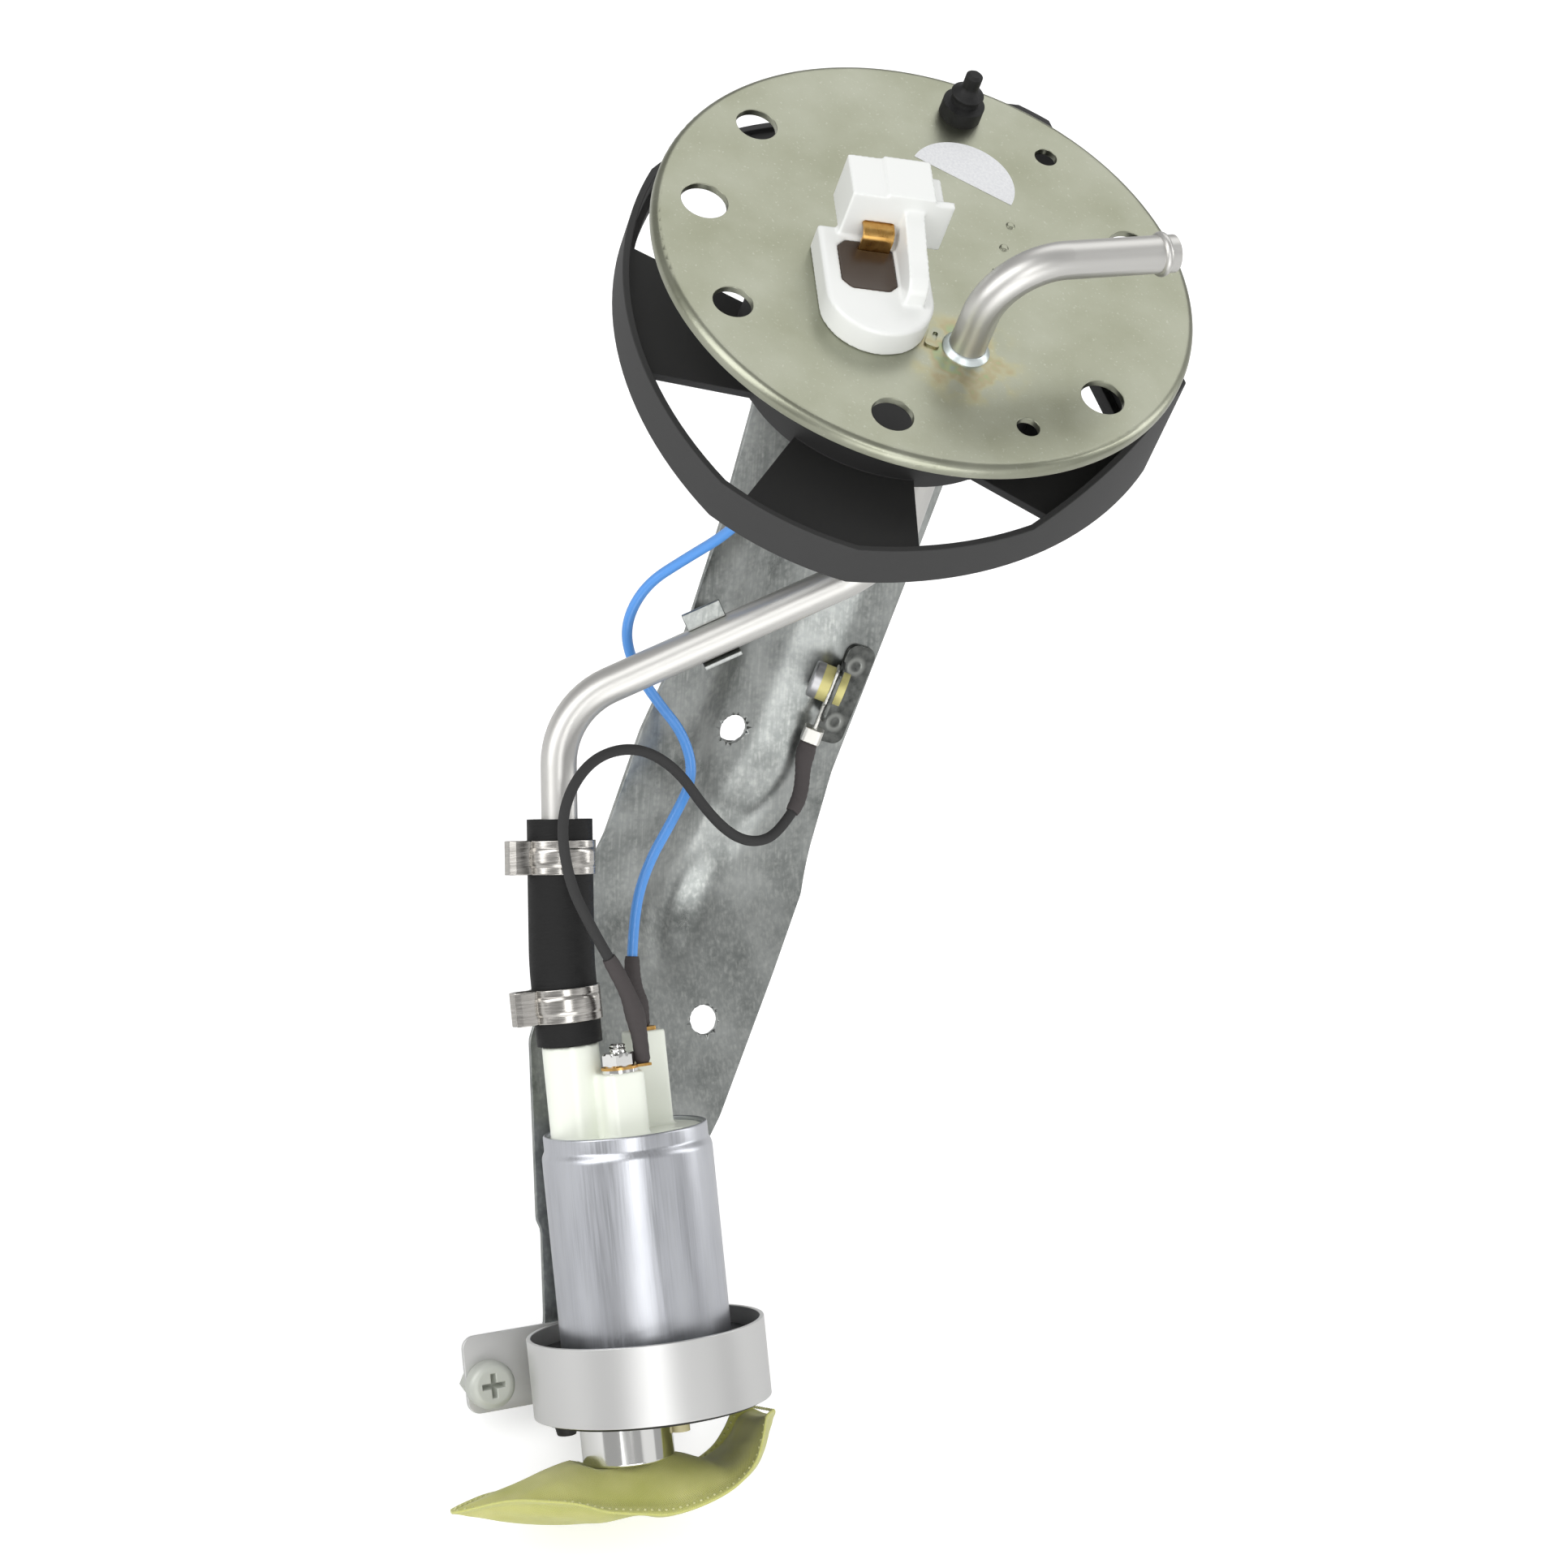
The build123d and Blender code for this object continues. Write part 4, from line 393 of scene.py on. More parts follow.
def bright_steel():
    """Bright plated steel: clean mirror with a slight haze."""
    material, tree, shader = new_finish("bright plated steel", {"Metallic": 1.0})
    cloud = grain(tree, 2.5, 3.0)
    dress(tree, shader, blend_colour(tree, cloud, "#b9b8b3", "#d8d7d2"), between(tree, cloud, 0.1, 0.2), cloud, 0.01)
    return material


def spring_steel():
    """Drawn or ground steel: neutral grey, satin."""
    material, tree, shader = new_finish("ground steel", {"Metallic": 1.0})
    fine = grain(tree, 0.5, 2.0)
    dress(tree, shader, blend_colour(tree, fine, "#8b8b8d", "#a9a9ab"), between(tree, fine, 0.2, 0.3), fine, 0.005)
    return material


def winding_copper():
    """Enamelled copper wire: red-brown gloss with the lay of the turns."""
    material, tree, shader = new_finish("enamelled copper", {"Metallic": 1.0, "Coat Weight": 0.6, "Coat Roughness": 0.15})
    lay = grain(tree, 0.5, 1.0, stretch=12.0, turn=ALONG_PUMP)
    dress(tree, shader, blend_colour(tree, lay, "#7a3a20", "#c2713f"), between(tree, lay, 0.2, 0.35), lay, 0.15)
    return material


def stacked_laminations():
    """Stacked electrical steel: thin dark and light layers along the shaft."""
    material, tree, shader = new_finish("stacked laminations", {"Metallic": 1.0, "Roughness": 0.4})
    place = node(tree, "ShaderNodeTexCoord").outputs["Object"]
    height = node(tree, "ShaderNodeVectorMath", {0: place, 1: UP}, operation="DOT_PRODUCT").outputs["Value"]
    layer = node(tree, "ShaderNodeMath", {0: height, 1: tau / (0.5 * MM)}, operation="MULTIPLY")
    wave = node(tree, "ShaderNodeMath", {0: layer.outputs[0]}, operation="SINE")
    share = node(tree, "ShaderNodeMapRange", {"Value": wave.outputs[0], "From Min": -1.0}).outputs[0]
    dress(tree, shader, blend_colour(tree, share, "#55575b", "#85878b"), None, share, 0.03)
    return material


def sintered_ferrite():
    """Sintered ferrite magnet: dark grey ceramic, faintly sparkling."""
    material, tree, shader = new_finish("sintered ferrite", {"Metallic": 0.3, "Roughness": 0.55})
    fine = grain(tree, 0.3, 4.0)
    dress(tree, shader, blend_colour(tree, fine, "#26272a", "#3b3c40"), None, fine, 0.02)
    return material


def pressed_carbon():
    """Pressed carbon brush: soft black with a grey rub."""
    material, tree, shader = new_finish("pressed carbon", {"Roughness": 0.6, "Metallic": 0.2})
    fine = grain(tree, 0.4, 4.0)
    dress(tree, shader, blend_colour(tree, fine, "#131313", "#2c2c2e"), None, fine, 0.02)
    return material


# Finishes of the hose, strap and strainer
def extruded_hose():
    """Extruded rubber hose with a cloth-wrapped skin: matt black, faint rings of the wrap."""
    material, tree, shader = new_finish("wrapped rubber hose", {"Specular IOR Level": 0.3})
    wrap = grain(tree, 6.0, 4.0, stretch=0.09, turn=ALONG_PUMP)
    cloud = grain(tree, 2.5, 4.0)
    dress(tree, shader, blend_colour(tree, cloud, "#0d0d0d", "#1b1b1b"), between(tree, cloud, 0.55, 0.72), wrap, 0.06)
    return material


def stainless_strip():
    """Bright stainless strip: warm white metal with roll lines."""
    material, tree, shader = new_finish("bright stainless strip", {"Metallic": 1.0})
    lines = grain(tree, 4.0, 2.0, stretch=0.08, turn=ALONG_PUMP)
    dress(tree, shader, blend_colour(tree, lines, "#aca9a4", "#cbc8c3"), between(tree, lines, 0.2, 0.28), lines, 0.002)
    return material


def satin_zinc():
    """Zinc plated strip steel: even satin grey, faint spangle."""
    material, tree, shader = new_finish("satin zinc strip", {"Metallic": 1.0})
    fine = grain(tree, 0.5, 3.0)
    cloud = grain(tree, 9.0, 3.0)
    dress(tree, shader, blend_colour(tree, cloud, "#a3a49f", "#b9bab5"), between(tree, fine, 0.34, 0.48), fine, 0.012)
    return material


def grey_zinc():
    """Mechanically plated zinc: pale grey-green, nearly matt."""
    material, tree, shader = new_finish("mechanical zinc", {"Metallic": 0.75})
    cloud = grain(tree, 0.9, 4.0)
    dress(tree, shader, blend_colour(tree, cloud, "#6f766a", "#8f958a"), between(tree, cloud, 0.42, 0.6), cloud, 0.03)
    return material


def amber_nylon():
    """Unfilled nylon rivet: amber, lets light through."""
    material, tree, shader = new_finish("amber nylon", {"Roughness": 0.25, "IOR": 1.53, "Subsurface Weight": 0.7,
                                                         "Subsurface Scale": 0.002, "Subsurface Radius": (1.0, 0.9, 0.4)})
    cloud = grain(tree, 2.0, 2.0)
    dress(tree, shader, blend_colour(tree, cloud, "#a39a4e", "#c6bd75"), None, cloud, 0.01)
    return material


def woven_mesh():
    """Woven nylon strainer cloth: olive-yellow threads, drawn 0.45 mm apart where the real ones are 0.1 mm."""
    material, tree, shader = new_finish("woven strainer mesh", {
        "Roughness": 0.55, "Sheen Weight": 0.2, "Subsurface Weight": 0.35, "Subsurface Scale": 0.002,
        "Subsurface Radius": (1.0, 1.0, 0.4)})
    across = node(tree, "ShaderNodeUVMap", uv_map="cloth").outputs[0]
    parts = node(tree, "ShaderNodeSeparateXYZ", {0: across})
    waves = []
    for socket in (parts.outputs[0], parts.outputs[1]):
        turn = node(tree, "ShaderNodeMath", {0: socket, 1: tau / 0.45}, operation="MULTIPLY")
        waves.append(node(tree, "ShaderNodeMath", {0: turn.outputs[0]}, operation="SINE").outputs[0])
    weave = node(tree, "ShaderNodeMath", {0: waves[0], 1: waves[1]}, operation="MULTIPLY")
    weave = node(tree, "ShaderNodeMapRange", {"Value": weave.outputs[0], "From Min": -1.0}).outputs[0]
    cloud = grain(tree, 16.0, 3.0)
    deep = blend_colour(tree, cloud, wm().mesh_dark_hex, wm().mesh_light_hex)
    seam = node(tree, "ShaderNodeAttribute", attribute_name="seam").outputs["Fac"]
    cloth = blend_colour(tree, node(tree, "ShaderNodeMath", {0: weave, 1: 0.35}, operation="MULTIPLY").outputs[0],
                         deep, "#d0d08a")
    colour = blend_colour(tree, seam, cloth, "#c3c47a")
    dress(tree, shader, colour, None, weave, 0.08)
    return material


def heat_weld():
    """Heat weld of the strainer's rim: mesh melted clear, glossy olive."""
    material, tree, shader = new_finish("melted seam of nylon mesh", {"Roughness": 0.25, "IOR": 1.53})
    cloud = grain(tree, 2.0, 2.0)
    dress(tree, shader, blend_colour(tree, cloud, "#c3c383", "#dedda6"))
    return material


# Finishes of the wires
def wire_insulation(name, low, high):
    """Extruded wire insulation: smooth, glossy, with the faint waviness of the strands."""
    material, tree, shader = new_finish(name, {"Roughness": 0.14, "Specular IOR Level": 0.11})
    cloud = grain(tree, 3.0, 2.0)
    dress(tree, shader, blend_colour(tree, cloud, low, high), None, cloud, 0.03)
    return material


def blue_insulation():
    """Blue wire insulation."""
    return wire_insulation("blue wire insulation", wm().blue_hex, "#0b3c9c")


def black_insulation():
    """Black wire insulation."""
    return wire_insulation("black wire insulation", "#020202", "#060606")


def shrink_tube():
    """Heat-shrink tube: brown-black satin with slight puckers."""
    material, tree, shader = new_finish("heat-shrink tube", {"Roughness": 0.3, "Specular IOR Level": 0.13})
    pucker = grain(tree, 1.4, 3.0)
    dress(tree, shader, blend_colour(tree, pucker, "#040303", "#0c0908"), None, pucker, 0.08)
    return material


def finish_from(maker):
    """The material that a maker makes, made once."""
    found = bpy.data.materials.get(maker.__name__)
    if found is None:
        found = maker()
        found["finish"] = found.name
        found.name = maker.__name__
    return found


def wm():
    """The settings that the panel shows."""
    return bpy.context.scene.pump_looks


def dress_nodes(maker, *names):
    """Gives CAD nodes a finish, their shape left as it is."""
    for name in names:
        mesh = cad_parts[name].data
        mesh.materials.clear()
        mesh.materials.append(finish_from(maker))


def add_piece(name, mesh, maker, body="module", stands_for=()):
    """Links a mesh as a piece of that finish, riding on a body and standing for CAD nodes."""
    mesh.materials.clear()
    mesh.materials.append(finish_from(maker))
    piece = bpy.data.objects.new(name, mesh)
    bpy.context.scene.collection.objects.link(piece)
    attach(piece, body)
    if stands_for:
        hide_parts(*stands_for)
    return piece


def mesh_from(name, points, faces, smooth=True, sharp=40.0):
    """A mesh with outward faces, smooth but for its sharp edges."""
    mesh = bpy.data.meshes.new(name)
    mesh.from_pydata([tuple(p) for p in points], [], faces)
    shape = bmesh.new()
    shape.from_mesh(mesh)
    bmesh.ops.remove_doubles(shape, verts=shape.verts, dist=1e-6)
    bmesh.ops.recalc_face_normals(shape, faces=shape.faces)
    shape.to_mesh(mesh)
    shape.free()
    if smooth:
        mesh.shade_smooth()
        mesh.set_sharp_from_angle(angle=radians(sharp))
    return mesh


def rounded(points, radii, steps=4):
    """Closed 2D outline with its corners rounded; a radius may be one for all or one each."""
    count = len(points)
    if not hasattr(radii, "__len__"):
        radii = [radii] * count
    made = []
    for i, corner in enumerate(points):
        here = Vector(corner)
        to_last = Vector(points[i - 1]) - here
        to_next = Vector(points[(i + 1) % count]) - here
        cut = min(radii[i], 0.45 * to_last.length, 0.45 * to_next.length)
        if cut <= 0:
            made.append(here)
            continue
        start = here + to_last.normalized() * cut
        end = here + to_next.normalized() * cut
        for step in range(steps + 1):
            t = step / steps
            made.append(start * (1 - t) ** 2 + here * 2 * t * (1 - t) + end * t ** 2)
    return made


def lathe(name, outline, place, segments=96):
    """A closed outline of (radius, height) in mm turned round the Z of a placement."""
    points = []
    faces = []
    count = len(outline)
    for k in range(segments):
        angle = tau * k / segments
        for r, z in outline:
            points.append(place @ (Vector((r * cos(angle), r * sin(angle), z)) * MM))
        for i in range(count):
            a = k * count + i
            b = k * count + (i + 1) % count
            c = ((k + 1) % segments) * count + (i + 1) % count
            d = ((k + 1) % segments) * count + i
            faces.append((a, b, c, d))
    mesh = mesh_from(name, points, faces)
    return drop_slivers(mesh)


def drop_slivers(mesh):
    """Removes the faces that fold to nothing on a turned shape's axis."""
    shape = bmesh.new()
    shape.from_mesh(mesh)
    bmesh.ops.dissolve_degenerate(shape, dist=1e-7, edges=shape.edges)
    bmesh.ops.recalc_face_normals(shape, faces=shape.faces)
    shape.to_mesh(mesh)
    shape.free()
    mesh.shade_smooth()
    mesh.set_sharp_from_angle(angle=radians(40))
    return mesh


def cad_copy(name, cad_node):
    """A merged copy of a CAD node's mesh with its flat faces joined."""
    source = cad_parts[cad_node]
    shape = bmesh.new()
    shape.from_mesh(source.data)
    shape.transform(source.matrix_world)
    bmesh.ops.remove_doubles(shape, verts=shape.verts, dist=2e-6)
    bmesh.ops.dissolve_limit(shape, angle_limit=radians(0.5), verts=shape.verts, edges=shape.edges)
    mesh = bpy.data.meshes.new(name)
    shape.to_mesh(mesh)
    shape.free()
    return mesh


def applied(mesh, steps):
    """The mesh after a row of modifiers, each a kind with its settings."""
    carrier = bpy.data.objects.new("carrier", mesh)
    bpy.context.scene.collection.objects.link(carrier)
    for kind, settings in steps:
        modifier = carrier.modifiers.new(kind, kind)
        for key, value in settings.items():
            setattr(modifier, key, value)
    return plain_mesh(carrier)


def plain_mesh(carrier):
    """The evaluated shape of an object as its own mesh; the object goes."""
    depsgraph = bpy.context.evaluated_depsgraph_get()
    result = bpy.data.meshes.new_from_object(carrier.evaluated_get(depsgraph))
    bpy.data.objects.remove(carrier)
    return result


def edge_break(width, angle):
    """The two modifiers that break edges by a width in mm and keep the flats shaded flat."""
    return [("BEVEL", {"width": width * MM, "segments": 2, "limit_method": "ANGLE", "angle_limit": radians(angle),
                       "use_clamp_overlap": False}),
            ("WEIGHTED_NORMAL", {"keep_sharp": True, "weight": 100})]


def broken_edges(name, cad_node, width, angle=35.0):
    """A CAD node's shape with its sharp edges broken by a small round."""
    mesh = cad_copy(name, cad_node)
    mesh.shade_smooth()
    return applied(mesh, edge_break(width, angle))


def moulded(name, cad_node, grid, passes):
    """A CAD node's shape with the soft edges of a moulding, on a grid of that many mm."""
    mesh = applied(cad_copy(name, cad_node), [
        ("REMESH", {"mode": "VOXEL", "voxel_size": grid * MM}),
        ("SMOOTH", {"factor": 0.5, "iterations": passes})])
    mesh.shade_smooth()
    return mesh


def tube_mesh(name, centres, radii, sides=24):
    """A closed round skin over a line of centres in metres with a radius in mm at each."""
    points = []
    faces = []
    last = None
    count = len(centres)
    for k, centre in enumerate(centres):
        ahead = (centres[min(k + 1, count - 1)] - centres[max(k - 1, 0)]).normalized()
        if last is None:
            last = ahead.orthogonal().normalized()
        across = (last - ahead * last.dot(ahead)).normalized()
        last = across
        other = ahead.cross(across)
        for i in range(sides):
            angle = tau * i / sides
            points.append(centre + (across * cos(angle) + other * sin(angle)) * radii[k] * MM)
    for k in range(count - 1):
        for i in range(sides):
            j = (i + 1) % sides
            faces.append((k * sides + i, k * sides + j, (k + 1) * sides + j, (k + 1) * sides + i))
    faces.append(tuple(range(sides))[::-1])
    faces.append(tuple(range((count - 1) * sides, count * sides)))
    return mesh_from(name, points, faces, sharp=60.0)


def coil_tree():
    """Geometry nodes for a coil: a spiral of round wire with its sizes as inputs."""
    found = bpy.data.node_groups.get("coil")
    if found:
        return found
    tree = bpy.data.node_groups.new("coil", "GeometryNodeTree")
    for label, kind in (("Radius", "NodeSocketFloat"), ("Wire Radius", "NodeSocketFloat"), ("Height", "NodeSocketFloat"),
                        ("Turns", "NodeSocketFloat"), ("Sides", "NodeSocketInt"), ("Material", "NodeSocketMaterial")):
        tree.interface.new_socket(label, in_out="INPUT", socket_type=kind)
    tree.interface.new_socket("Geometry", in_out="OUTPUT", socket_type="NodeSocketGeometry")
    asked = node(tree, "NodeGroupInput").outputs
    line = node(tree, "GeometryNodeCurveSpiral", {
        "Resolution": 28, "Rotations": asked["Turns"], "Start Radius": asked["Radius"],
        "End Radius": asked["Radius"], "Height": asked["Height"]})
    wire = node(tree, "GeometryNodeCurvePrimitiveCircle", {"Resolution": asked["Sides"], "Radius": asked["Wire Radius"]})
    skin = node(tree, "GeometryNodeCurveToMesh", {"Curve": line.outputs[0], "Profile Curve": wire.outputs[0],
                                                  "Fill Caps": True})
    real = node(tree, "GeometryNodeRealizeInstances", {0: skin.outputs[0]})
    dressed = node(tree, "GeometryNodeSetMaterial", {0: real.outputs[0], "Material": asked["Material"]})
    node(tree, "NodeGroupOutput", {0: dressed.outputs[0]})
    return tree


def grown(tree, values, place, start=None):
    """The plain mesh that a geometry node tree grows with those inputs, at a placement."""
    carrier = bpy.data.objects.new("carrier", start or bpy.data.meshes.new("carrier"))
    bpy.context.scene.collection.objects.link(carrier)
    modifier = carrier.modifiers.new("grow", "NODES")
    modifier.node_group = tree
    for item in tree.interface.items_tree:
        if item.item_type == "SOCKET" and item.in_out == "INPUT" and item.name in values:
            modifier[item.identifier] = values[item.name]
    mesh = plain_mesh(carrier)
    mesh.transform(place)
    mesh.update()
    return mesh


def coil(name, radius, wire, height, turns, place, maker, sides=8):
    """A coil of wire in mm as a mesh."""
    mesh = grown(coil_tree(), {"Radius": radius * MM, "Wire Radius": wire * MM, "Height": height * MM,
                               "Turns": float(turns), "Sides": sides, "Material": finish_from(maker)}, place)
    mesh.name = name
    mesh.shade_smooth()
    return mesh


def joined(name, meshes):
    """Several meshes as one."""
    shape = bmesh.new()
    for mesh in meshes:
        shape.from_mesh(mesh)
    result = bpy.data.meshes.new(name)
    shape.to_mesh(result)
    shape.free()
    result.shade_smooth()
    result.set_sharp_from_angle(angle=radians(40))
    return result


def nut_mesh(name, flats, height, bore, place):
    """A hexagon nut with chamfered corners: a prism cut by a cone at each end."""
    points = []
    faces = []
    segments = 72
    corner = flats / 2 / cos(pi / 6)
    levels = (0.0, 0.12, 0.3, 0.7, 0.88, 1.0)
    for level in levels:
        end = min(level, 1 - level) * height
        for k in range(segments):
            angle = tau * k / segments
            side = flats / 2 / cos((angle + pi / 6) % (pi / 3) - pi / 6)
            r = min(side, flats / 2 + end * 1.6)
            points.append(place @ (Vector((r * cos(angle), r * sin(angle), level * height)) * MM))
    for k in range(segments):
        angle = tau * k / segments
        for z in (0.0, height):
            points.append(place @ (Vector((bore * cos(angle), bore * sin(angle), z)) * MM))
    inner = len(levels) * segments
    for row in range(len(levels) - 1):
        for k in range(segments):
            j = (k + 1) % segments
            faces.append((row * segments + k, row * segments + j, (row + 1) * segments + j, (row + 1) * segments + k))
    top = (len(levels) - 1) * segments
    for k in range(segments):
        j = (k + 1) % segments
        faces.append((k, inner + 2 * k, inner + 2 * j, j))
        faces.append((top + k, top + j, inner + 2 * j + 1, inner + 2 * k + 1))
        faces.append((inner + 2 * k, inner + 2 * k + 1, inner + 2 * j + 1, inner + 2 * j))
    return mesh_from(name, points, faces, sharp=25.0)


class PumpLooks(bpy.types.PropertyGroup):
    """Sizes and colours that a user may change"""
    plate_dark_hex: bpy.props.StringProperty(
        name="Plate, dark", description="Darker colour of the plate's chromate film", default="#8f917e")
    plate_light_hex: bpy.props.StringProperty(
        name="Plate, light", description="Lighter colour of the plate's chromate film", default="#a9ab9b")
    sheet_step: bpy.props.FloatProperty(
        name="Sheet step", description="Spacing of the bracket's mesh in millimetres", default=1.5, min=0.8, max=4.0)
    dot_spacing: bpy.props.FloatProperty(
        name="Dot spacing", description="Spacing of the strainer's weld dots in millimetres", default=1.7, min=1.0)
    sheet_dark_hex: bpy.props.StringProperty(
        name="Sheet, dark", description="Darker colour of the galvanised sheet", default="#6f7371")
    sheet_light_hex: bpy.props.StringProperty(
        name="Sheet, light", description="Lighter colour of the galvanised sheet", default="#a9acaa")
    mesh_dark_hex: bpy.props.StringProperty(
        name="Strainer, dark", description="Darker colour of the strainer's mesh", default="#a6a94c")
    mesh_light_hex: bpy.props.StringProperty(
        name="Strainer, light", description="Lighter colour of the strainer's mesh", default="#cfcd86")
    blue_hex: bpy.props.StringProperty(
        name="Blue wire", description="Colour of the blue wire's insulation", default="#072f86")
    wire_radius: bpy.props.FloatProperty(
        name="Wire radius", description="Radius of both wires in millimetres", default=1.2, min=0.8, max=1.2)
    light_power: bpy.props.FloatProperty(
        name="Light power", description="Share of the studio lamps' power", default=1.0, min=0.0, max=4.0)
    lens: bpy.props.FloatProperty(
        name="Lens", description="Focal length on a 36 mm sensor", default=96.53, min=10.0, unit="CAMERA")


class PUMP_OT_stage(bpy.types.Operator):
    """Make the camera, the floor and the studio light"""
    bl_idname = "pump.stage"
    bl_label = "Stage"

    def execute(self, context):
        scene = context.scene
        scene.view_settings.view_transform = "Standard"
        camera = bpy.data.objects.new("camera", bpy.data.cameras.new("camera"))
        scene.collection.objects.link(camera)
        camera.data.sensor_width = 36.0
        camera.data.lens = wm().lens
        camera.data.clip_start = 0.05
        camera.data.clip_end = 20.0
        right = Vector((0.3313, 0.9064, 0.2621))
        down = Vector((0.7808, -0.1074, -0.6154))
        ahead = Vector((-0.5297, 0.4086, -0.7433))
        turn = Matrix((right, -down, -ahead)).transposed().to_4x4()
        camera.matrix_world = Matrix.Translation(Vector((549.19, -403.79, 587.86)) * MM) @ turn
        scene.camera = camera

        floor = bpy.data.meshes.new("floor")
        reach = 3.0
        level = CAD_BOX[0].z - 0.001
        floor.from_pydata([(-reach, -reach, level), (reach, -reach, level), (reach, reach, level), (-reach, reach, level)],
                          [], [(0, 1, 2, 3)])
        floor_object = bpy.data.objects.new("floor", floor)
        scene.collection.objects.link(floor_object)
        paint = bpy.data.materials.new("pale floor")
        paint.use_nodes = True
        tree = paint.node_tree
        tree.nodes.clear()
        rays = node(tree, "ShaderNodeLightPath").outputs
        seen = node(tree, "ShaderNodeMath", {0: rays["Is Camera Ray"], 1: rays["Is Transmission Ray"]},
                    operation="MAXIMUM")
        lift = node(tree, "ShaderNodeMath", {0: seen.outputs[0], 1: 0.45}, operation="MULTIPLY")
        matt = node(tree, "ShaderNodeBsdfDiffuse", {"Color": (0.82, 0.82, 0.82, 1)})
        glow = node(tree, "ShaderNodeEmission", {"Color": (1, 1, 1, 1), "Strength": lift.outputs[0]})
        both = node(tree, "ShaderNodeAddShader", {0: matt.outputs[0], 1: glow.outputs[0]})
        node(tree, "ShaderNodeOutputMaterial", {0: both.outputs[0]})
        floor.materials.append(paint)

        world = bpy.data.worlds.new("studio")
        scene.world = world
        world.use_nodes = True
        tree = world.node_tree
        tree.nodes.clear()
        rays = node(tree, "ShaderNodeLightPath").outputs
        shaded = node(tree, "ShaderNodeMapRange", {"Value": rays["Is Glossy Ray"], "To Min": 0.44, "To Max": 0.42})
        strength = node(tree, "ShaderNodeMapRange", {"Value": rays["Is Camera Ray"], "To Min": shaded.outputs[0],
                                                     "To Max": 1.0})
        sky = node(tree, "ShaderNodeBackground", {"Color": (1, 1, 1, 1), "Strength": strength.outputs[0]})
        node(tree, "ShaderNodeOutputWorld", {0: sky.outputs[0]})

        aim = Vector((0.045, -0.02, -0.1))
        for name, right_m, up_m, toward_m, size, power in (
                ("key", -0.6, 0.3, 0.7, (0.5, 1.1), 4.8),
                ("fill", 1.0, 0.25, 0.05, (0.3, 0.9), 2.4),
                ("top", 0.35, 0.95, 0.05, (1.1, 0.6), 2.4),
                ("low", 0.85, -0.4, 0.5, (0.6, 0.9), 0.8),
                ("trough", 0.1, -0.7, 0.7, (0.9, 0.7), 4.2),
                ("front", 0.15, -0.1, 1.1, (0.35, 0.4), 1.7)):
            lamp = bpy.data.lights.new(name, "AREA")
            lamp.shape = "RECTANGLE"
            lamp.size, lamp.size_y = size
            lamp.energy = power * wm().light_power
            lamp_object = bpy.data.objects.new(name, lamp)
            scene.collection.objects.link(lamp_object)
            spot = aim + right * right_m - down * up_m - ahead * toward_m
            facing = (aim - spot).to_track_quat("-Z", "Y").to_matrix().to_4x4()
            lamp_object.matrix_world = Matrix.Translation(spot) @ facing
        return {"FINISHED"}


def wire_curve(name, route, maker):
    """A wire as a smooth curve through its route's control points."""
    curve = bpy.data.curves.new(name, "CURVE")
    curve.dimensions = "3D"
    curve.bevel_depth = wm().wire_radius * MM
    curve.bevel_resolution = 6
    curve.resolution_u = 12
    curve.use_fill_caps = True
    line = curve.splines.new("NURBS")
    line.points.add(len(route) - 1)
    for point, place in zip(line.points, route):
        point.co = (*(Vector(place) * MM), 1.0)
    line.order_u = 3
    line.use_endpoint_u = True
    curve.materials.append(finish_from(maker))
    wire = bpy.data.objects.new(name, curve)
    bpy.context.scene.collection.objects.link(wire)
    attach(wire, "module")
    return wire


def sleeve(name, foot, foot_way, wire_end, wire_way, stands_for, crimp):
    """A heat-shrink sleeve: swollen over the crimp near its foot, drawn in on the wire."""
    pull = (wire_end - foot).length * 0.42
    controls = (foot, foot + foot_way * pull, wire_end - wire_way * pull, wire_end)
    centres = []
    radii = []
    steps = 40
    for k in range(steps + 1):
        t = k / steps
        s = 1 - t
        centres.append(controls[0] * s ** 3 + controls[1] * 3 * s * s * t + controls[2] * 3 * s * t * t
                       + controls[3] * t ** 3)
        swell = exp(-((t - crimp) / 0.16) ** 2)
        neck = max(0.0, (t - 0.86) / 0.14)
        radii.append(1.75 + 0.45 * swell - 0.2 * neck ** 2 + 0.04 * sin(k * 1.7))
    radii[0] -= 0.3
    mesh = tube_mesh(name, centres, radii)
    return add_piece(name, mesh, shrink_tube, stands_for=(stands_for,))


def route_way(route, end):
    """A route's end point in metres and the way the wire leaves it."""
    first, second = (route[0], route[1]) if end == "first" else (route[-1], route[-2])
    start = Vector(first) * MM
    return start, (Vector(second) * MM - start).normalized()


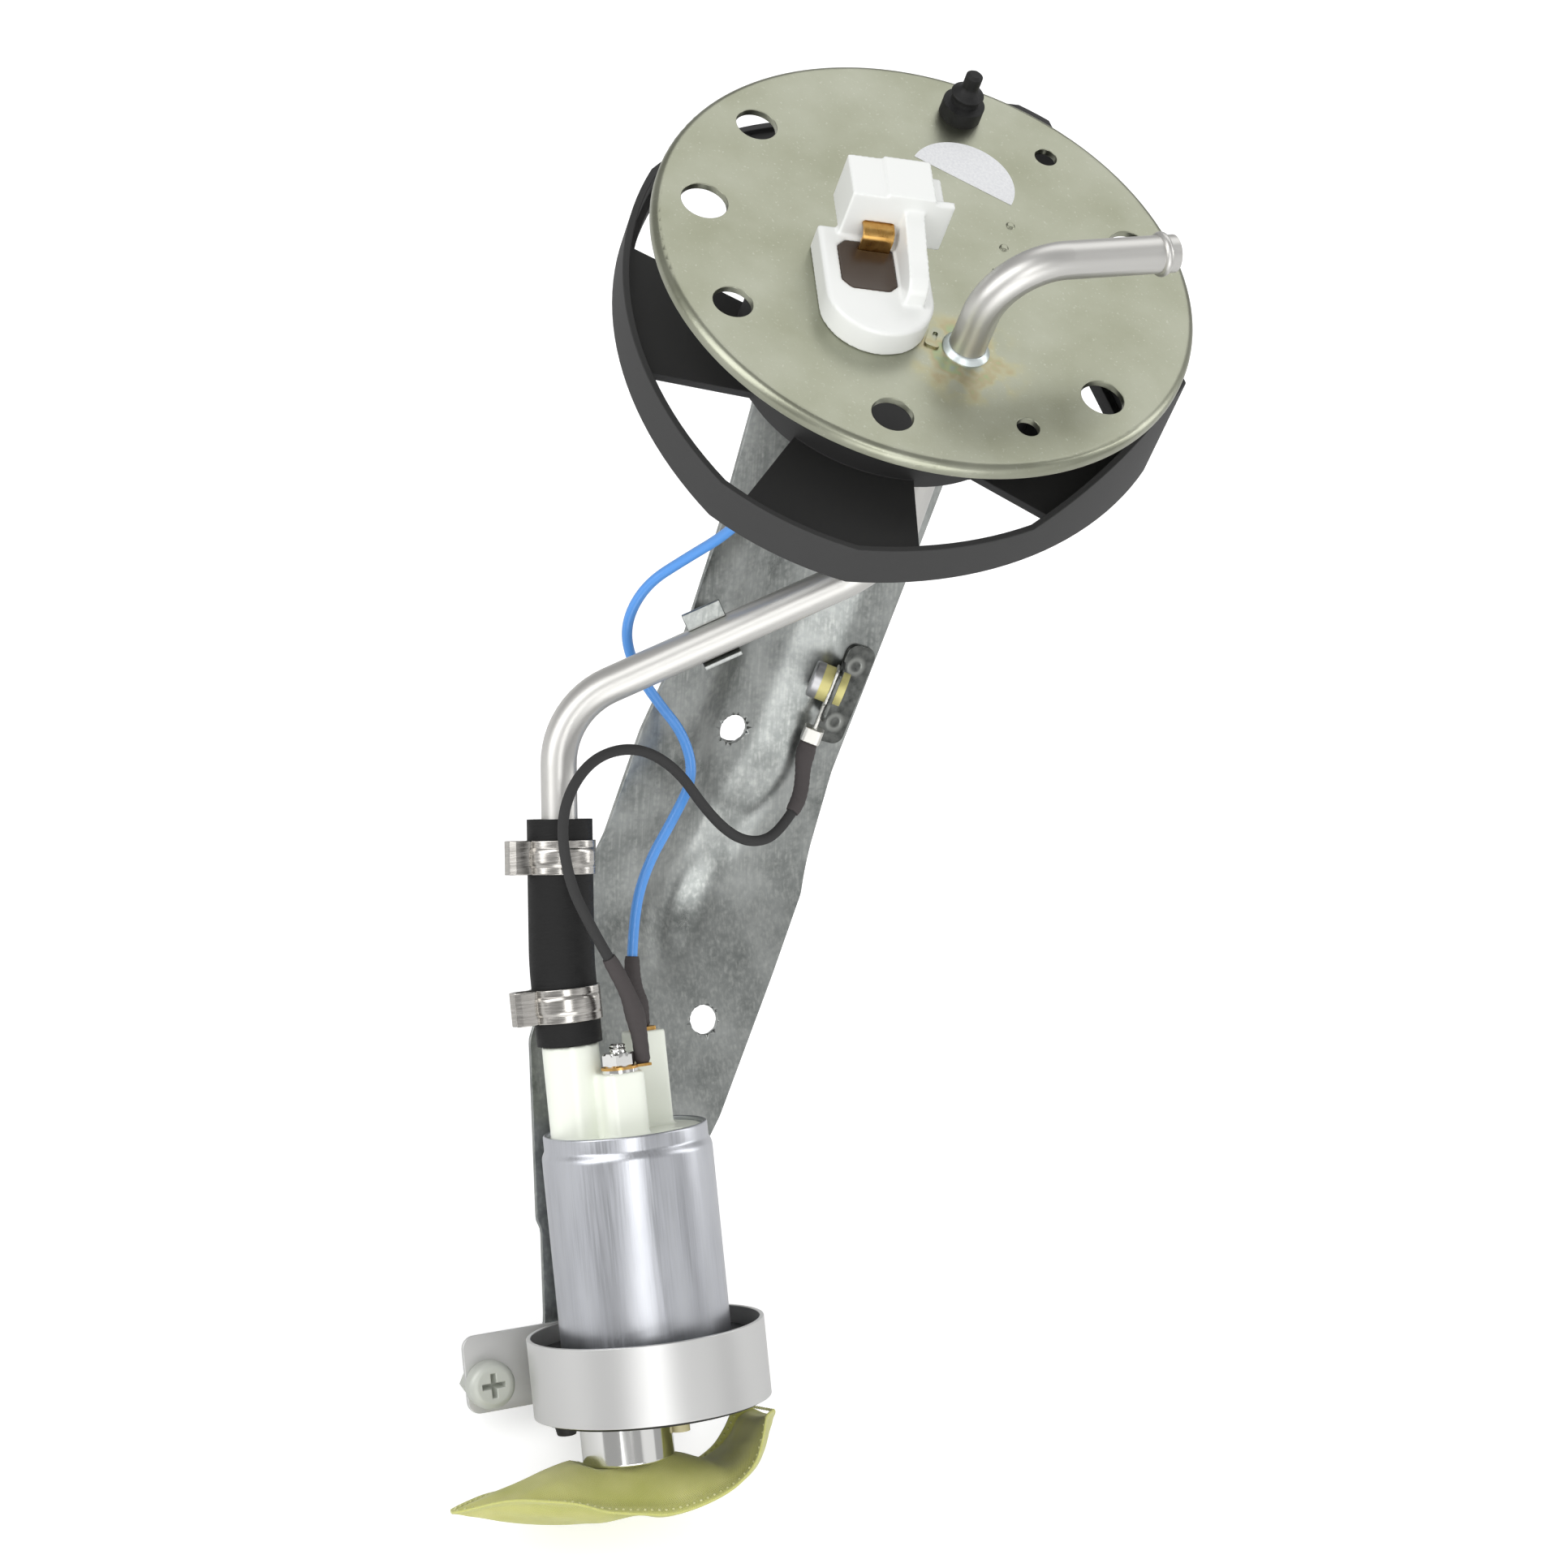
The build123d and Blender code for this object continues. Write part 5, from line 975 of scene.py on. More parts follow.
class PUMP_OT_wires(bpy.types.Operator):
    """Lay the black and the blue wire with their heat-shrink sleeves"""
    bl_idname = "pump.wires"
    bl_label = "Wires"

    def execute(self, context):
        black = wire_curve("black_lead", BLACK_WIRE_ROUTE, black_insulation)
        blue = wire_curve("blue_lead", BLUE_WIRE_ROUTE, blue_insulation)
        start, way = route_way(BLACK_WIRE_ROUTE, "first")
        earth = sleeve("earth_wire_sleeve", earth_point(14.05, 0.4), -EARTH_UP, start, way, "earth_sleeve", 0.15)
        end, way = route_way(BLACK_WIRE_ROUTE, "last")
        foot = in_hang(FRONT_POST[0], FRONT_POST[1] + 5.6, FRONT_POST_TOP + 1.35)
        front = sleeve("front_wire_sleeve", foot, UP, end, way, "front_sleeve", 0.42)
        blue_end, way = route_way(BLUE_WIRE_ROUTE, "last")
        foot = in_hang(*REAR_POST, REAR_POST_TOP + 0.85)
        rear = sleeve("rear_wire_sleeve", foot, UP, blue_end, way, "rear_sleeve", 0.3)
        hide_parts("black_wire")
        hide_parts("blue_wire")
        return {"FINISHED"}


# Earth point: a strip turned on the bracket's panel, with a lug that leans over and carries the screw
EARTH_AT = (2.0, 44.6)
EARTH_TURN = radians(20.0)
LUG_LEAN = radians(29.0)
EARTH_SCREW_DOWN = -2.3
EARTH_SCREW_OFF = 6.4
BEND_LOW = PUMP_TOP + (FRONT * -26.0 + UP * 50.0) * MM
EARTH_UP = PANEL_UP * cos(EARTH_TURN) + SIDE * sin(EARTH_TURN)
LUG_OUT = PANEL_OUT * cos(LUG_LEAN) + PANEL_OUT.cross(EARTH_UP) * sin(LUG_LEAN)
HEAD_WAY = LUG_OUT.cross(EARTH_UP).normalized()


def on_panel(y, s, h=0.0):
    """A point in metres on the bracket's panel: side, distance up it and height off it, in mm."""
    return Vector((BEND_LOW.x, y * MM, BEND_LOW.z)) + (PANEL_UP * s + PANEL_OUT * h) * MM


def earth_point(down, off, out=0.0):
    """A point in metres from the earth screw's centre on the lug: down its length, off its face, and out along it."""
    place = on_panel(*EARTH_AT) - EARTH_UP * (EARTH_SCREW_DOWN + down) * MM
    return place + (LUG_OUT * (EARTH_SCREW_OFF + out) + HEAD_WAY * off) * MM


class PUMP_OT_plate(bpy.types.Operator):
    """Finish the plate, its label, vent cap, pipe and braze"""
    bl_idname = "pump.plate"
    bl_label = "Plate"

    def execute(self, context):
        add_piece("plate_body", broken_edges("plate_body", "flange_plate", 0.18), olive_chromate,
                  stands_for=("flange_plate",))
        dress_nodes(paper_label, "blank_label")
        dress_nodes(olive_chromate, "vent_stub", "earth_tab")
        dress_nodes(moulded_rubber, "vent_cap")
        dress_nodes(steel_tube, "fuel_pipe")
        dress_nodes(braze_metal, "braze_collar")
        return {"FINISHED"}


class PUMP_OT_connector(bpy.types.Operator):
    """Soften the connector and pour its resin"""
    bl_idname = "pump.connector"
    bl_label = "Connector"

    def execute(self, context):
        add_piece("connector_shell", moulded("connector_shell", "connector_body", 0.34, 4), white_nylon,
                  stands_for=("connector_body",))
        add_piece("resin_pool", moulded("resin_pool", "connector_potting", 0.25, 6), potting_resin,
                  stands_for=("connector_potting",))
        add_piece("brass_strip", broken_edges("brass_strip", "terminal_blade", 0.15), rolled_brass,
                  stands_for=("terminal_blade",))
        return {"FINISHED"}


# Bracket: one sheet folded along this side profile, cut to this outline, with a pressed channel
SHEET_T = 1.2
WALL_X = -11.6
FOOT = 9.5
CHANNEL_DEPTH = 4.0
CHANNEL_SLOPE = 12.0
PANEL_TOP = BEND_LOW + PANEL_UP * ((BEND_LOW.x - WALL_X * MM) / sin(PANEL_ANGLE))
STRAP_BOTTOM = -CASE_LENGTH - 0.7
STRAP_HEIGHT = 17.7
STRAP_TOP = STRAP_BOTTOM + STRAP_HEIGHT
STRAP_Z = in_hang(-26.0, 0, STRAP_TOP).z / MM
BRACKET_END = in_hang(-26.0, 0, STRAP_BOTTOM + 0.6)
SCREW_W = -29.3
SCREW_U = STRAP_TOP - 11.3
BRACKET_OUTLINE = (
    (-22.0, -52.0), (-28.4, -76.2), (-35.5, -98.0), (-44.9, -116.8), (-52.5, -138.0), (-73.5, -169.7),
    (-76.3, -195.0), (-75.4, -196.2), (-76.8, STRAP_Z + 1.3), (-77.2, STRAP_Z - 0.5), (-96.3, STRAP_Z - 0.5),
    (-96.3, BRACKET_END.z / MM), (-50.0, BRACKET_END.z / MM), (-50.0, STRAP_Z + 3.3), (-45.0, -198.4),
    (-29.0, -184.4), (-12.2, -165.4), (-3.0, -154.4), (3.8, -130.2), (18.8, -92.5), (29.0, -66.4), (22.0, -52.0))
CHANNEL_OUTLINE = (
    (-10.0, 106.0), (-20.4, 82.0), (-33.7, 42.0), (-45.0, 0.0), (-45.5, -14.0), (-41.0, -22.0), (-35.0, -18.0),
    (-20.0, 4.0), (-5.0, 27.0), (6.5, 60.0), (12.0, 76.0), (9.0, 106.0))
BRACKET_HOLES = ((-20.2, -120.1, 3.4), (-30.6, -170.4, 3.4))


class FoldedProfile:
    """The bracket's side profile: where its front face is at a distance along the sheet."""

    def __init__(self):
        corners = [(WALL_X - FOOT, 0.0), (WALL_X, 0.0), (PANEL_TOP.x / MM, PANEL_TOP.z / MM),
                   (BEND_LOW.x / MM, BEND_LOW.z / MM), (BRACKET_END.x / MM, BRACKET_END.z / MM)]
        closed = rounded(corners, [0.0, 2.5, 4.0, 8.0, 0.0], 10)
        self.points = closed
        self.walked = [0.0]
        for a, b in zip(closed, closed[1:]):
            self.walked.append(self.walked[-1] + (b - a).length)

    def at(self, along):
        """Front face point (x, z) and its outward normal at a distance along the sheet."""
        k = min(max(bisect_right(self.walked, along), 1), len(self.points) - 1)
        a, b = self.points[k - 1], self.points[k]
        way = (b - a).normalized()
        return a + way * (along - self.walked[k - 1]), Vector((-way.y, way.x))

    def along(self, z):
        """Distance along the sheet at which its front face comes down to a height."""
        for k in range(len(self.points) - 1, 0, -1):
            a, b = self.points[k - 1], self.points[k]
            if b.y <= z <= a.y and a.y > b.y:
                return self.walked[k - 1] + (self.walked[k] - self.walked[k - 1]) * (a.y - z) / (a.y - b.y)
        return self.walked[-1]


def inside_distance(place, outline):
    """How far a point lies inside an outline, or less than nothing outside it."""
    inside = False
    nearest = 1e9
    for a, b in zip(outline, outline[1:] + outline[:1]):
        if (a[1] > place.y) != (b[1] > place.y):
            if place.x < a[0] + (place.y - a[1]) * (b[0] - a[0]) / (b[1] - a[1]):
                inside = not inside
        foot, share = intersect_point_line(place, Vector(a), Vector(b))
        foot = Vector(a).lerp(Vector(b), min(max(share, 0.0), 1.0))
        nearest = min(nearest, (place - foot).length)
    return nearest if inside else -nearest


def walked_ring(corners, step):
    """A closed line of points no further apart than a step, through the corners."""
    made = []
    for a, b in zip(corners, corners[1:] + corners[:1]):
        count = max(1, int((Vector(b) - Vector(a)).length / step))
        made += [Vector(a).lerp(Vector(b), k / count) for k in range(count)]
    return made


def bracket_mesh(name):
    """The folded sheet with its channel pressed in softly, edges broken."""
    step = wm().sheet_step
    profile = FoldedProfile()
    end = profile.walked[-1]
    outline = [(-22.0, 0.0)] + [(y, min(profile.along(z), end)) for y, z in BRACKET_OUTLINE] + [(22.0, 0.0)]
    rings = [walked_ring(rounded(outline, 1.0, 2), step)]
    holes = [(y, profile.along(z), r) for y, z, r in BRACKET_HOLES]
    screw = in_hang(-26.0, SCREW_W, SCREW_U) / MM
    holes.append((screw.y, profile.along(screw.z), 2.6))
    for y, along, r in holes:
        rings.append([Vector((y + r * cos(tau * k / 40), along + r * sin(tau * k / 40))) for k in range(40)])
    points = []
    edges = []
    for ring in rings:
        first = len(points)
        points += ring
        edges += [(first + k, first + (k + 1) % len(ring)) for k in range(len(ring))]
    rows = int(end / step)
    columns = int(120 / step)
    for row in range(1, rows):
        for column in range(columns):
            place = Vector((-100 + (column + 0.5 * (row % 2)) * step, row * end / rows))
            clear = all((place - Vector((y, along))).length > r + 0.5 * step for y, along, r in holes)
            if clear and inside_distance(place, outline) > 0.6 * step:
                points.append(place)
    flat, _, faces, _, _, _ = delaunay_2d_cdt(points, edges, [], 1, 1e-6)
    kept = []
    for face in faces:
        middle = sum((flat[i] for i in face), Vector((0, 0))) / len(face)
        if all((middle - Vector((y, along))).length > r * 0.98 for y, along, r in holes):
            kept.append(face)
    dips = []
    placed = [(profile.at(p.y), p.x) for p in flat]
    for (spot, out), y in placed:
        s = ((spot.x - BEND_LOW.x / MM) * PANEL_UP.x + (spot.y - BEND_LOW.z / MM) * PANEL_UP.z)
        share = min(max(inside_distance(Vector((y, s)), CHANNEL_OUTLINE) / CHANNEL_SLOPE, 0.0), 1.0)
        dips.append(CHANNEL_DEPTH * share * share * (3 - 2 * share))
    beside = [set() for _ in flat]
    for face in kept:
        for a in face:
            beside[a].update(face)
    for _ in range(10):
        dips = [0.5 * dips[i] + 0.5 * sum(dips[j] for j in ring) / len(ring) if ring else dips[i]
                for i, ring in enumerate(beside)]
    skin = [Vector((spot.x - out.x * dip, y, spot.y - out.y * dip)) * MM
            for ((spot, out), y), dip in zip(placed, dips)]
    a, b, c = kept[0][:3]
    facing = (skin[b] - skin[a]).cross(skin[c] - skin[a])
    out = placed[a][0][1]
    if facing.dot(Vector((out.x, 0, out.y))) < 0:
        kept = [tuple(reversed(face)) for face in kept]
    mesh = bpy.data.meshes.new(name)
    mesh.from_pydata([tuple(p) for p in skin], [], [tuple(face) for face in kept])
    shape = bmesh.new()
    shape.from_mesh(mesh)
    bmesh.ops.delete(shape, geom=[v for v in shape.verts if not v.link_faces], context="VERTS")
    shape.to_mesh(mesh)
    shape.free()
    mesh.shade_smooth()
    return applied(mesh, [("SOLIDIFY", {"thickness": SHEET_T * MM, "offset": -1.0}), *edge_break(0.2, 60.0)])


class PUMP_OT_bracket(bpy.types.Operator):
    """Fold the bracket and finish the pipe clip and the earth point"""
    bl_idname = "pump.bracket"
    bl_label = "Bracket"

    def execute(self, context):
        add_piece("bracket_sheet", bracket_mesh("bracket_sheet"), galvanised_sheet,
                  stands_for=("bracket",))
        add_piece("clip_strip", broken_edges("clip_strip", "pipe_clip", 0.2), galvanised_sheet,
                  stands_for=("pipe_clip",))
        add_piece("earth_strip", broken_edges("earth_strip", "earth_plate", 0.15), welded_strip,
                  stands_for=("earth_plate",))
        add_piece("ring_terminal", moulded("ring_terminal", "earth_terminal", 0.2, 3), tinned_brass,
                  stands_for=("earth_terminal",))
        dress_nodes(yellow_zinc, "earth_washer", "earth_nut")
        dress_nodes(spring_steel, "earth_screw")
        return {"FINISHED"}


class PUMP_OT_baffle(bpy.types.Operator):
    """Finish the baffle ring"""
    bl_idname = "pump.baffle"
    bl_label = "Baffle ring"

    def execute(self, context):
        add_piece("baffle_moulding", broken_edges("baffle_moulding", "baffle_ring", 0.25), black_moulding,
                  stands_for=("baffle_ring",))
        return {"FINISHED"}


class PUMP_OT_pump(bpy.types.Operator):
    """Turn the case, mould the end cap and finish the works inside"""
    bl_idname = "pump.pump"
    bl_label = "Pump"

    def execute(self, context):
        outline = rounded([
            (18.3, 0.0), (18.3, -3.4), (19.0, -4.8), (19.0, 1.4 - CASE_LENGTH), (18.2, -CASE_LENGTH),
            (15.5, -CASE_LENGTH), (15.5, 0.8 - CASE_LENGTH), (18.0, 0.8 - CASE_LENGTH), (18.0, -5.0),
            (17.3, -3.8), (17.3, 0.0)],
            [0.45, 0.4, 0.9, 0.8, 0.6, 0.2, 0.0, 0.0, 0.3, 0.3, 0.45])
        add_piece("case_tube", lathe("case_tube", outline, hang_place(0, 0, 0), 128), brushed_aluminium,
                  stands_for=("pump_case",))
        add_piece("end_cap_moulding", moulded("end_cap_moulding", "pump_end_cap", 0.45, 3), cream_nylon,
                  stands_for=("pump_end_cap",))
        dress_nodes(brushed_aluminium, "pump_housing", "inlet_cover")
        dress_nodes(black_moulding, "check_valve", "impeller")
        dress_nodes(spring_steel, "shaft", "relief_valve")
        dress_nodes(pressed_carbon, "front_brush", "rear_brush")
        dress_nodes(rolled_brass, "upper_bush", "lower_bush")
        dress_nodes(winding_copper, "commutator", "armature_winding")
        dress_nodes(stacked_laminations, "armature_core")
        dress_nodes(sintered_ferrite, "magnets")
        dress_nodes(spring_steel, "flux_ring")
        for name, body, radius, wire, height, turns, place in (
                ("check_valve_spring", "check_valve_poppet", 2.1, 0.25, 5.9, 6, (0, OUTLET_W, 3.65)),
                ("relief_valve_spring", "relief_valve_poppet", 1.15, 0.15, 1.25, 4, (9.0, 8.5, -3.8)),
                ("front_brush_spring", "front_brush_set", 1.5, 0.22, 5.0, 7, (8.0, 0, -9.7)),
                ("rear_brush_spring", "rear_brush_set", 1.5, 0.22, 5.0, 7, (-8.0, 0, -9.7))):
            mesh = coil(name + "_coil", radius, wire, height, turns, hang_place(*place), spring_steel)
            add_piece(name + "_coil", mesh, spring_steel, body=body, stands_for=(name,))
        return {"FINISHED"}


def clamp_mesh(name, place):
    """A hose clamp: an open band with a pinched ear on its left and a pressed window."""
    width = 7.5
    inner = HOSE_R + 0.05
    thick = 0.6
    path = []
    ear = 2.0
    start = atan2(ear, inner)
    for k in range(193):
        angle = -pi / 2 + start + (tau - 2 * start) * k / 192
        path.append(Vector((inner * cos(angle), inner * sin(angle))))
    reach = inner + 4.6
    path += [Vector((-ear, -inner - 1.2)), Vector((-ear * 1.05, -reach + 0.8)), Vector((-ear * 0.7, -reach)),
             Vector((0, -reach + 0.5)), Vector((ear * 0.7, -reach)), Vector((ear * 1.05, -reach + 0.8)),
             Vector((ear, -inner - 1.2))]
    count = len(path)
    points = []
    faces = []
    rows = [width * k / 30 for k in range(31)]
    for z in rows:
        for i in range(count):
            ahead = path[(i + 1) % count] - path[i - 1]
            out = Vector((ahead.y, -ahead.x)).normalized()
            angle = atan2(path[i].y, path[i].x)
            edge = min(2.0 - abs(z - width / 2), (1.09 - abs(angle + 0.22)) * inner) if i < 193 else 0.0
            window = 0.3 * min(max(edge / 0.6, 0.0), 1.0)
            q = path[i] + out * window
            points.append(place @ (Vector((q.x, q.y, z)) * MM))
    for row in range(len(rows) - 1):
        for i in range(count):
            j = (i + 1) % count
            faces.append((row * count + i, row * count + j, (row + 1) * count + j, (row + 1) * count + i))
    skin = mesh_from(name, points, faces)
    return applied(skin, [("SOLIDIFY", {"thickness": thick * MM, "offset": 1.0}), *edge_break(0.12, 60.0)])


class PUMP_OT_hose(bpy.types.Operator):
    """Finish the hose and make its two clamps"""
    bl_idname = "pump.hose"
    bl_label = "Hose and clamps"

    def execute(self, context):
        dress_nodes(extruded_hose, "hose")
        leaning = (UP * cos(PIPE_LEAN) + SIDE * sin(PIPE_LEAN)).normalized()
        across = leaning.cross(FRONT).normalized()
        for name, height in CLAMPS.items():
            if height < HOSE_BEND_U:
                place = hang_place(0, OUTLET_W, height)
            else:
                w = OUTLET_W + (height - HOSE_BEND_U) * tan(PIPE_LEAN)
                turn = Matrix((FRONT, across, leaning)).transposed().to_4x4()
                place = Matrix.Translation(in_hang(0, w, height)) @ turn
            add_piece(name + "_band", clamp_mesh(name + "_band", place), stainless_strip,
                      stands_for=(name,))
        return {"FINISHED"}


class PUMP_OT_terminals(bpy.types.Operator):
    """Make the threaded stud and the nut of the front terminal, and finish its washer and the brass terminals"""
    bl_idname = "pump.terminals"
    bl_label = "Terminals"

    def execute(self, context):
        v, w = FRONT_POST
        core = lathe("stud_core", rounded([(0, 0), (1.65, 0), (1.65, 6.0), (1.3, 6.3), (0, 6.3)], 0.0),
                     hang_place(v, w, FRONT_POST_TOP), 32)
        thread = coil("stud_thread", 1.62, 0.27, 5.6, 8, hang_place(v, w, FRONT_POST_TOP + 0.4), bright_steel, 4)
        add_piece("threaded_stud", joined("threaded_stud", [core, thread]), bright_steel,
                  stands_for=("terminal_stud",))
        add_piece("hex_nut", nut_mesh("hex_nut", 6.6, 3.0, 1.95, hang_place(v, w, FRONT_POST_TOP + 1.3)), bright_steel,
                  stands_for=("terminal_nut",))
        dress_nodes(bright_steel, "terminal_washer")
        dress_nodes(rolled_brass, "brass_eyelet", "rear_terminal")
        return {"FINISHED"}


class PUMP_OT_strap(bpy.types.Operator):
    """Finish the strap, its screw and nut, and the rubber cup"""
    bl_idname = "pump.strap"
    bl_label = "Strap"

    def execute(self, context):
        add_piece("strap_band", broken_edges("strap_band", "strap", 0.2), satin_zinc,
                  stands_for=("strap",))
        add_piece("pan_screw", broken_edges("pan_screw", "strap_screw", 0.18, 50.0), grey_zinc,
                  stands_for=("strap_screw",))
        add_piece("rubber_cup", broken_edges("rubber_cup", "isolator", 0.3), moulded_rubber,
                  stands_for=("isolator",))
        dress_nodes(grey_zinc, "weld_nut")
        return {"FINISHED"}


# Strainer bag stations from its left tip to its right end: top, bottom and front rim as side and height
SOCK_STATIONS = (
    ((-49.4, -77.4), (-49.4, -77.9), (-49.0, -77.4)),
    ((-41.6, -76.2), (-42.4, -79.4), (-38.5, -75.9)),
    ((-32.4, -74.2), (-33.3, -82.4), (-31.4, -76.7)),
    ((-25.7, -72.7), (-25.2, -84.2), (-25.1, -78.1)),
    ((-17.9, -71.9), (-17.2, -85.1), (-18.4, -80.9)),
    ((-9.5, -73.0), (-9.1, -84.4), (-10.2, -82.8)),
    ((-3.0, -73.2), (-3.8, -85.4), (-3.9, -83.9)),
    ((3.8, -73.7), (2.2, -85.6), (3.2, -83.2)),
    ((8.7, -75.3), (10.0, -84.6), (9.9, -81.3)),
    ((12.9, -77.1), (15.4, -83.0), (14.4, -78.7)),
    ((17.0, -75.8), (20.4, -80.2), (17.6, -75.3)),
    ((19.3, -73.6), (23.2, -77.2), (19.6, -70.4)),
    ((21.9, -69.6), (25.2, -73.0), (20.8, -66.4)),
    ((26.2, -68.4), (26.7, -69.2), (22.8, -65.2)))
SOCK_HALF = 14.8
SOCK_SEAM = 2.4


def through(stops, t):
    """A smooth line through points, at a share of its length from 0 to 1."""
    count = len(stops) - 1
    k = min(int(t * count), count - 1)
    s = t * count - k
    a, b, c, d = (Vector(stops[min(max(k + i, 0), count)]) for i in (-1, 0, 1, 2))
    return 0.5 * (2 * b + (c - a) * s + (2 * a - 5 * b + 4 * c - d) * s * s + (3 * b - a - 3 * c + d) * s ** 3)


def sock_half(t, c=1.0):
    """The bag's reach from its middle to a rim, in mm: pointed at the left, narrower behind at the right."""
    left = min(1.0, t / 0.3)
    back = min(max((t - 0.62) / 0.38, 0.0), 1.0) if c < 0 else 0.0
    return SOCK_HALF * (0.1 + 0.9 * sin(left * pi / 2)) * (1 - 0.55 * back * back * (3 - 2 * back))


def sock_place(t, c, side):
    """A point of the bag, in mm along the pump's front, side and height; c runs from rim to rim."""
    top, bottom, rim = (through([stop[i] for stop in SOCK_STATIONS], t) for i in range(3))
    half = sock_half(t, c)
    flat = 1 - min(SOCK_SEAM / half, 0.8)
    belly = max(0.0, 1 - (abs(c) / flat) ** 2.3) ** 0.85 if abs(c) < flat else 0.0
    middle = (top + bottom) / 2
    lift = abs(c) ** 1.8 * (1.0 if c > 0 else 0.55)
    spine = middle.lerp(rim, lift)
    reach = (top - bottom) / 2
    puff = noise.noise(Vector((t * 7.0, c * 2.0, 3.0 * side))) * 0.8 + 0.3 * sin(c * 8.0 + t * 9.0) * (1 - t)
    end = min(1.0, t * 9, (1 - t) * 9)
    across = reach.normalized()
    spine = spine + across * side * (0.3 + (puff * belly * end))
    spine = spine + reach * side * belly * min(1.0, 0.15 + t * 20, 0.15 + (1 - t) * 20)
    place = Vector((c * half, spine.x, spine.y))
    gap = (Vector((place.x, place.y - INLET_W))).length
    if side > 0 and gap < 16.0:
        place.z = min(place.z, COLLAR_BOTTOM - 0.3 + max(0.0, gap - 10.6) * 0.7)
    return place


def sock_mesh(name):
    """The strainer bag: two sheets of mesh sealed at the rim, slack over the spacer inside."""
    rows, columns = 110, 36
    points = []
    cloth = []
    seams = []
    walked = 0.0
    last = None
    for k in range(rows + 1):
        t = k / rows
        here = sock_place(t, 0.0, 0.0)
        walked += (here - last).length if last else 0.0
        last = here
        lower = [(c / columns * 2 - 1, -1) for c in range(columns, -1, -1)]
        upper = [(c / columns * 2 - 1, 1) for c in range(columns + 1)]
        for c, side in upper + lower:
            place = sock_place(t, c, side)
            half = sock_half(t, c)
            points.append(in_hang(*place))
            cloth.append((walked, c * half))
            inward = min((1 - abs(c)) * half, t * 78, (1 - t) * 78)
            seams.append(1 - min(1.0, max(0.0, inward - 1.6) / 1.2))
    faces = []
    ring = 2 * (columns + 1)
    for k in range(rows):
        for i in range(ring):
            j = (i + 1) % ring
            faces.append((k * ring + i, k * ring + j, (k + 1) * ring + j, (k + 1) * ring + i))
    for first in (0, rows * ring):
        for i in range(columns):
            faces.append((first + i, first + i + 1, first + ring - 2 - i, first + ring - 1 - i))
    mesh = bpy.data.meshes.new(name)
    mesh.from_pydata([tuple(p) for p in points], [], faces)
    layer = mesh.uv_layers.new(name="cloth")
    for loop in mesh.loops:
        layer.data[loop.index].uv = cloth[loop.vertex_index]
    mark = mesh.attributes.new("seam", "FLOAT", "POINT")
    mark.data.foreach_set("value", seams)
    shape = bmesh.new()
    shape.from_mesh(mesh)
    bmesh.ops.remove_doubles(shape, verts=shape.verts, dist=1e-6)
    bmesh.ops.recalc_face_normals(shape, faces=shape.faces)
    shape.to_mesh(mesh)
    shape.free()
    mesh.shade_smooth()
    return mesh


def weld_tree():
    """Geometry nodes for a dotted weld: beads at an even spacing along the lines of a mesh."""
    found = bpy.data.node_groups.get("dotted weld")
    if found:
        return found
    tree = bpy.data.node_groups.new("dotted weld", "GeometryNodeTree")
    for label, kind in (("Geometry", "NodeSocketGeometry"), ("Spacing", "NodeSocketFloat"),
                        ("Radius", "NodeSocketFloat"), ("Material", "NodeSocketMaterial")):
        tree.interface.new_socket(label, in_out="INPUT", socket_type=kind)
    tree.interface.new_socket("Geometry", in_out="OUTPUT", socket_type="NodeSocketGeometry")
    asked = node(tree, "NodeGroupInput").outputs
    line = node(tree, "GeometryNodeMeshToCurve", {"Mesh": asked["Geometry"]})
    even = node(tree, "GeometryNodeResampleCurve", {"Curve": line.outputs[0], "Length": asked["Spacing"]}, mode="LENGTH")
    bead = node(tree, "GeometryNodeMeshIcoSphere", {"Radius": asked["Radius"], "Subdivisions": 2})
    beads = node(tree, "GeometryNodeInstanceOnPoints", {"Points": even.outputs[0], "Instance": bead.outputs[0]})
    real = node(tree, "GeometryNodeRealizeInstances", {0: beads.outputs[0]})
    dressed = node(tree, "GeometryNodeSetMaterial", {0: real.outputs[0], "Material": asked["Material"]})
    node(tree, "NodeGroupOutput", {0: dressed.outputs[0]})
    return tree


